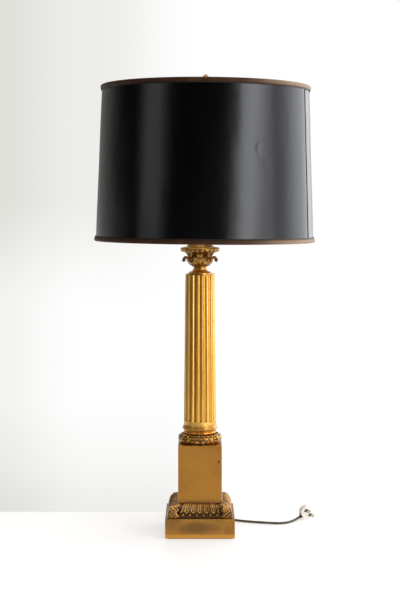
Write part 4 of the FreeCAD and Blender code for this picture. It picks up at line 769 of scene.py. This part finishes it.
knob.feed(Base_Color=knob.blend(knob.noise(300, 3), (0.008, 0.008, 0.008), (0.022, 0.021, 0.020)))
knob.bumps(knob.noise(1200, 2), 0.0001).dress("switch_knob")

# ---------------------------------------------------------------- harp
# Bent brass wire with a threaded stud at its top. Its feet stand in the saddle, and two ferrules slide
# down over them to hold it.
stamped.dress("harp_saddle", "harp_bow", "ferrule_left", "ferrule_right")
threaded("stud_thread", 0.0008, (0.80, 0.60, 0.27), (0.42, 0.28, 0.10), 0.3).dress("harp_stud")

# ---------------------------------------------------------------- bulb
# Round frosted glass bulb on a screw cap of pale metal. It is screwed into the holder and shows only
# from above or below the shade.
frosted = Finish("frosted_glass", Roughness=0.35, IOR=1.45, Transmission_Weight=0.35)
frosted.feed(Base_Color=frosted.blend(frosted.noise(900, 2), (0.86, 0.85, 0.82), (0.94, 0.93, 0.90)))
frosted.bumps(frosted.noise(2500, 2), 0.00005).dress("bulb_glass")
threaded("cap_thread", holder_pitch, (0.78, 0.78, 0.76), (0.40, 0.40, 0.39), 0.25).dress("bulb_cap")

# ---------------------------------------------------------------- shade
# Drum of black laminated paper on two wire rings, with a lapped and glued seam at the right and a faint
# crescent dent right of the middle. It leans by under half a degree.
hinge = Vector((10.50969, 0, 817.98474))
tilt = Matrix.Rotation(math.radians(0.45), 3, "Y")
shade_drop = 278.0              # from the hinge down to the shade's lower edge
shade_high = 289
low_radius = 203
top_radius = 193.3
paper_low, paper_high = 3.9, 285.1             # the paper's edges lie inside the tapes
paper_columns = 720
paper_rows = 90
seam_at = math.radians(-23.6)
dent_at = 297.6                 # the dent's bearing in degrees, and its height
dent_up = 166
mm_per_degree = 3.45


def on_shade(radius, angle, up):
    """A point of the shade from its radius, bearing and height above its lower edge, in mm."""
    point = Vector((radius * math.cos(angle), radius * math.sin(angle), up - shade_drop))
    return tuple(hinge + tilt @ point)


def shade_radius(up):
    return low_radius - (low_radius - top_radius) * up / shade_high


def pushed_in(angle, up):
    """Depth of the crescent dent and of the crease under it, in mm."""
    across = ((math.degrees(angle) + 360) % 360 - dent_at) * mm_per_degree
    bow = across - 0.45 * abs(up - dent_up) + 2
    dent = math.exp(-(bow * bow) / 14 - (up - dent_up) ** 2 / 110)
    crease = math.exp(-((across - 4 + 0.5 * (up - dent_up)) / 9) ** 2 - ((up - 152) / 26) ** 2)
    return 0.45 * dent + 0.45 * crease


def paper_place(column, row):
    share = column / paper_columns
    angle = seam_at + 2 * math.pi * share
    up = paper_low + (paper_high - paper_low) * row / paper_rows
    wave = 0.36 * noise.noise(Vector((math.cos(angle) * 2.2, math.sin(angle) * 2.2, up / 90)))
    free = smooth_step(up / 30) * smooth_step((shade_high - up) / 30)   # the rings hold the edges
    overlap = 0.75 * smooth_step((share - 0.90) / 0.09)
    radius = shade_radius(up) - 0.35 + wave * free - pushed_in(angle, up) + overlap
    # Right of the seam the paper gets a lighter bluish tone, a painted reflection.
    painted_sheen = 0.5 + 0.5 * smooth_step((0.11 - share) / 0.08)
    return *on_shade(radius, angle, up), 0.0 if 0 < share < 0.0058 else painted_sheen


shell = lamp_piece("shade_paper", "shade", paper_columns + 1, paper_rows + 1, paper_place,
                   around=False)
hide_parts("shade_shell")
satin = Finish("black_paper", IOR=1.5, Specular_Tint=(0.94, 0.96, 1.0, 1))
kind = satin.relief()           # 0: seam's glued edge, 0.5: paper, 1: painted reflection right of the seam
lacquer = satin.blend(satin.noise(7, 5).between(0.35, 0.75), (0.0004, 0.0004, 0.0004),
                      (0.0012, 0.0011, 0.0012))
paper = satin.blend(kind.between(0.5, 0.9), lacquer, (0.018, 0.020, 0.024))
# The seam's glued edge is dark brown, its line partly a painted shadow of the lap's step.
satin.feed(Base_Color=satin.blend(kind.between(0.5, 0.2), paper, (0.012, 0.007, 0.004)))
streaks = satin.noise(26, 5, (1, 1, 0.12))
satin.feed(Roughness=streaks * 0.10 + satin.noise(420, 3) * 0.05 + 0.14 + kind.between(0.5, 0.2) * 0.5)
satin.feed(Specular_IOR_Level=kind.between(0.1, 0.5) * 0.5)
uneven = satin.noise(1600, 3) * 0.10 + satin.noise(24, 5, (1, 1, 0.5)) * 0.90
satin.bumps(uneven, 0.0011, 0.7).dress(shell)

# ---------------------------------------------------------------- shade's lining
# Cream paper laminated inside the black, a little yellowed by the bulb. It follows the dent of the
# shade and ends under the tapes, as the black paper does.
lining_columns = 360
lining_rows = 60


def lining_place(column, row):
    angle = 2 * math.pi * column / lining_columns
    up = paper_low + (paper_high - paper_low) * row / lining_rows
    return *on_shade(shade_radius(up) - 1.45 - pushed_in(angle, up), angle, up), 0.5


lining = lamp_piece("cream_lining", "shade", lining_columns, lining_rows + 1,
                    lining_place)
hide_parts("shade_lining")
cream = Finish("cream_paper", Roughness=0.85)
yellowed = cream.noise(9, 5).between(0.35, 0.75)
cream.feed(Base_Color=cream.blend(yellowed, (0.72, 0.63, 0.46), (0.58, 0.47, 0.31)))
cream.bumps(cream.noise(900, 4), 0.0002).dress(lining)

# ---------------------------------------------------------------- tapes
# Two bands of brown tape, folded over the wire rings and glued down, with soft crimps. A painted
# highlight makes them tan at the right of the front, and they are darker along their glued edges,
# where the fold's dark line is partly painted shadow.
tape_columns = 360
tape_wide = 9.9
# across the tape: sideways from the paper's middle, and away from the shade's edge
tape_section = [(0.75, tape_wide), (1.55, tape_wide), (2.2, 8.2), (3.1, 4.4), (3.25, 2.4), (2.5, 0.8),
                (1.2, 0.1), (0, 0.0), (-1.2, 0.1), (-2.5, 0.8), (-3.15, 2.6), (-2.7, 6.0), (-2.1, 8.5),
                (-1.4, 8.6)]


def tape_place(edge, inward):
    """The tape on the shade's edge at this height; inward is 1 for up and -1 for down."""
    def place(column, row):
        sideways, away = tape_section[row]
        angle = 2 * math.pi * column / tape_columns
        around = Vector((math.cos(angle) * 22, math.sin(angle) * 22, edge * 0.1 + row * 0.3))
        crimp = 0.18 * noise.noise(around)
        if 0 < row < len(tape_section) - 1:
            sideways *= 1 + crimp * 0.5
        up = edge + inward * (away + (crimp if row < 2 else 0))
        glued = 0.6 * smooth_step((tape_wide - away) / 4)
        return *on_shade(shade_radius(up) - 0.75 + sideways, angle, up), glued
    return place


brown = Finish("brown_tape", Specular_IOR_Level=0.18, Specular_Tint=(1.0, 0.85, 0.72, 1))
threads = brown.noise(1500, 2, (1, 1, 0.25)) * 0.5 + brown.noise(700, 3, (0.3, 0.3, 2)) * 0.5
lightened = brown.noise(40, 5).between(0.45, 0.7)
dye_and_highlight = brown.blend(lightened, (0.036, 0.0145, 0.0065), (0.062, 0.0265, 0.0130))
# Painted highlight: tan at the right of the front, where the light falls.
painted_highlight = brown.x.between(0.072, 0.190) * (brown.y * -1).between(0.0, 0.06)
dye_and_highlight = brown.blend(painted_highlight, dye_and_highlight, (0.30, 0.20, 0.13))
# Darker along the glued edges: the fold's dark line, partly painted shadow.
glue_line_and_shadow = brown.relief().between(0.55, 0.15) * 0.85
brown.feed(Base_Color=brown.blend(glue_line_and_shadow, dye_and_highlight, (0.010, 0.005, 0.003)))
brown.feed(Roughness=threads * 0.25 + 0.36)
brown.bumps(threads, 0.0004)
for trim, edge, inward in (("bottom_trim", 0, 1), ("top_trim", shade_high, -1)):
    tape = lamp_piece("tape_" + trim, "shade", tape_columns, len(tape_section),
                      tape_place(edge, inward))
    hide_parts(trim)
    brown.dress(tape)

# ---------------------------------------------------------------- shade's wire frame
# Two wire rings inside the tapes and three wire arms to a flat hub, which rests on the harp. All are
# steel, soldered together and lacquered brown.
bronze = Finish("bronze_lacquer", Metallic=0.6)
bronze.feed(Base_Color=bronze.blend(bronze.noise(120, 4), (0.05, 0.032, 0.022), (0.10, 0.07, 0.045)))
bronze.feed(Roughness=bronze.noise(200, 3) * 0.25 + 0.3)
bronze.bumps(bronze.noise(600, 3), 0.0001)
bronze.dress("top_ring", "bottom_ring", "spider_hub", "spider_arm_left", "spider_arm_right",
             "spider_arm_back")

# ---------------------------------------------------------------- finial
# Turned brass knob, browner than the column. It screws on the harp's stud and holds the shade's hub
# down, and its tip shows above the rim.
gilt("finial_gilt", gold=(0.30, 0.16, 0.06), brown=(0.10, 0.045, 0.018), rough=0.3, cloud=90,
     grain=(1, 1, 6)).dress("finial")

# ---------------------------------------------------------------- strain relief and coil's tie
# A tapered grommet of moulded dark rubber, pressed into the plinth's back, and a short band of the same
# that ties the put-away coil.
moulded = Finish("dark_rubber", Roughness=0.7)
dusty = moulded.noise(200, 4)
moulded.feed(Base_Color=moulded.blend(dusty, (0.012, 0.011, 0.010), (0.03, 0.028, 0.025)))
moulded.bumps(moulded.noise(900, 3), 0.0002).dress("cord_grommet", "coil_tie")

# ---------------------------------------------------------------- plug
# Round white plug moulded on the lead's end, sooty with age and brown where the lead goes in. Its two
# flat brass blades are tarnished pale, with painted shadow at their roots.
plug_axis = Vector((0.44, -0.9, 0)).normalized()       # from the blades' roots to their tips
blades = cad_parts["plug_blades"]
root = min((blades.matrix_world @ vertex.co).dot(plug_axis) for vertex in blades.data.vertices)
tarnish = Finish("tarnished_blades", Metallic=0.4)
along = tarnish.x * plug_axis.x + tarnish.y * plug_axis.y - root
pale = tarnish.blend(tarnish.noise(500, 4).between(0.4, 0.7), (0.80, 0.74, 0.62), (0.66, 0.57, 0.42))
# Painted shadow: the blades darken towards their roots.
tarnish.feed(Base_Color=tarnish.blend(along.between(0.0085, 0.0045), pale, (0.030, 0.021, 0.014)))
tarnish.feed(Roughness=tarnish.noise(300, 3) * 0.2 + 0.4)
tarnish.bumps(tarnish.noise(800, 2), 0.0001).dress("plug_blades")

white = Finish("white_plug", IOR=1.5)
lead_end = [c * MM for c in route[-1]]
offsets = (white.x - lead_end[0], white.y - lead_end[1], white.z - lead_end[2])
away = sum(offset * offset for offset in offsets).math("SQRT")
soot = white.noise(120, 5).between(0.60, 0.80) * 0.5
aged = white.blend(soot, (0.90, 0.86, 0.79), (0.50, 0.42, 0.33))
white.feed(Base_Color=white.blend(away.between(0.0085, 0.0050), aged, (0.060, 0.030, 0.012)))
white.feed(Roughness=white.noise(300, 3) * 0.2 + 0.25)
white.bumps(white.noise(700, 3), 0.00015).dress("plug_body")
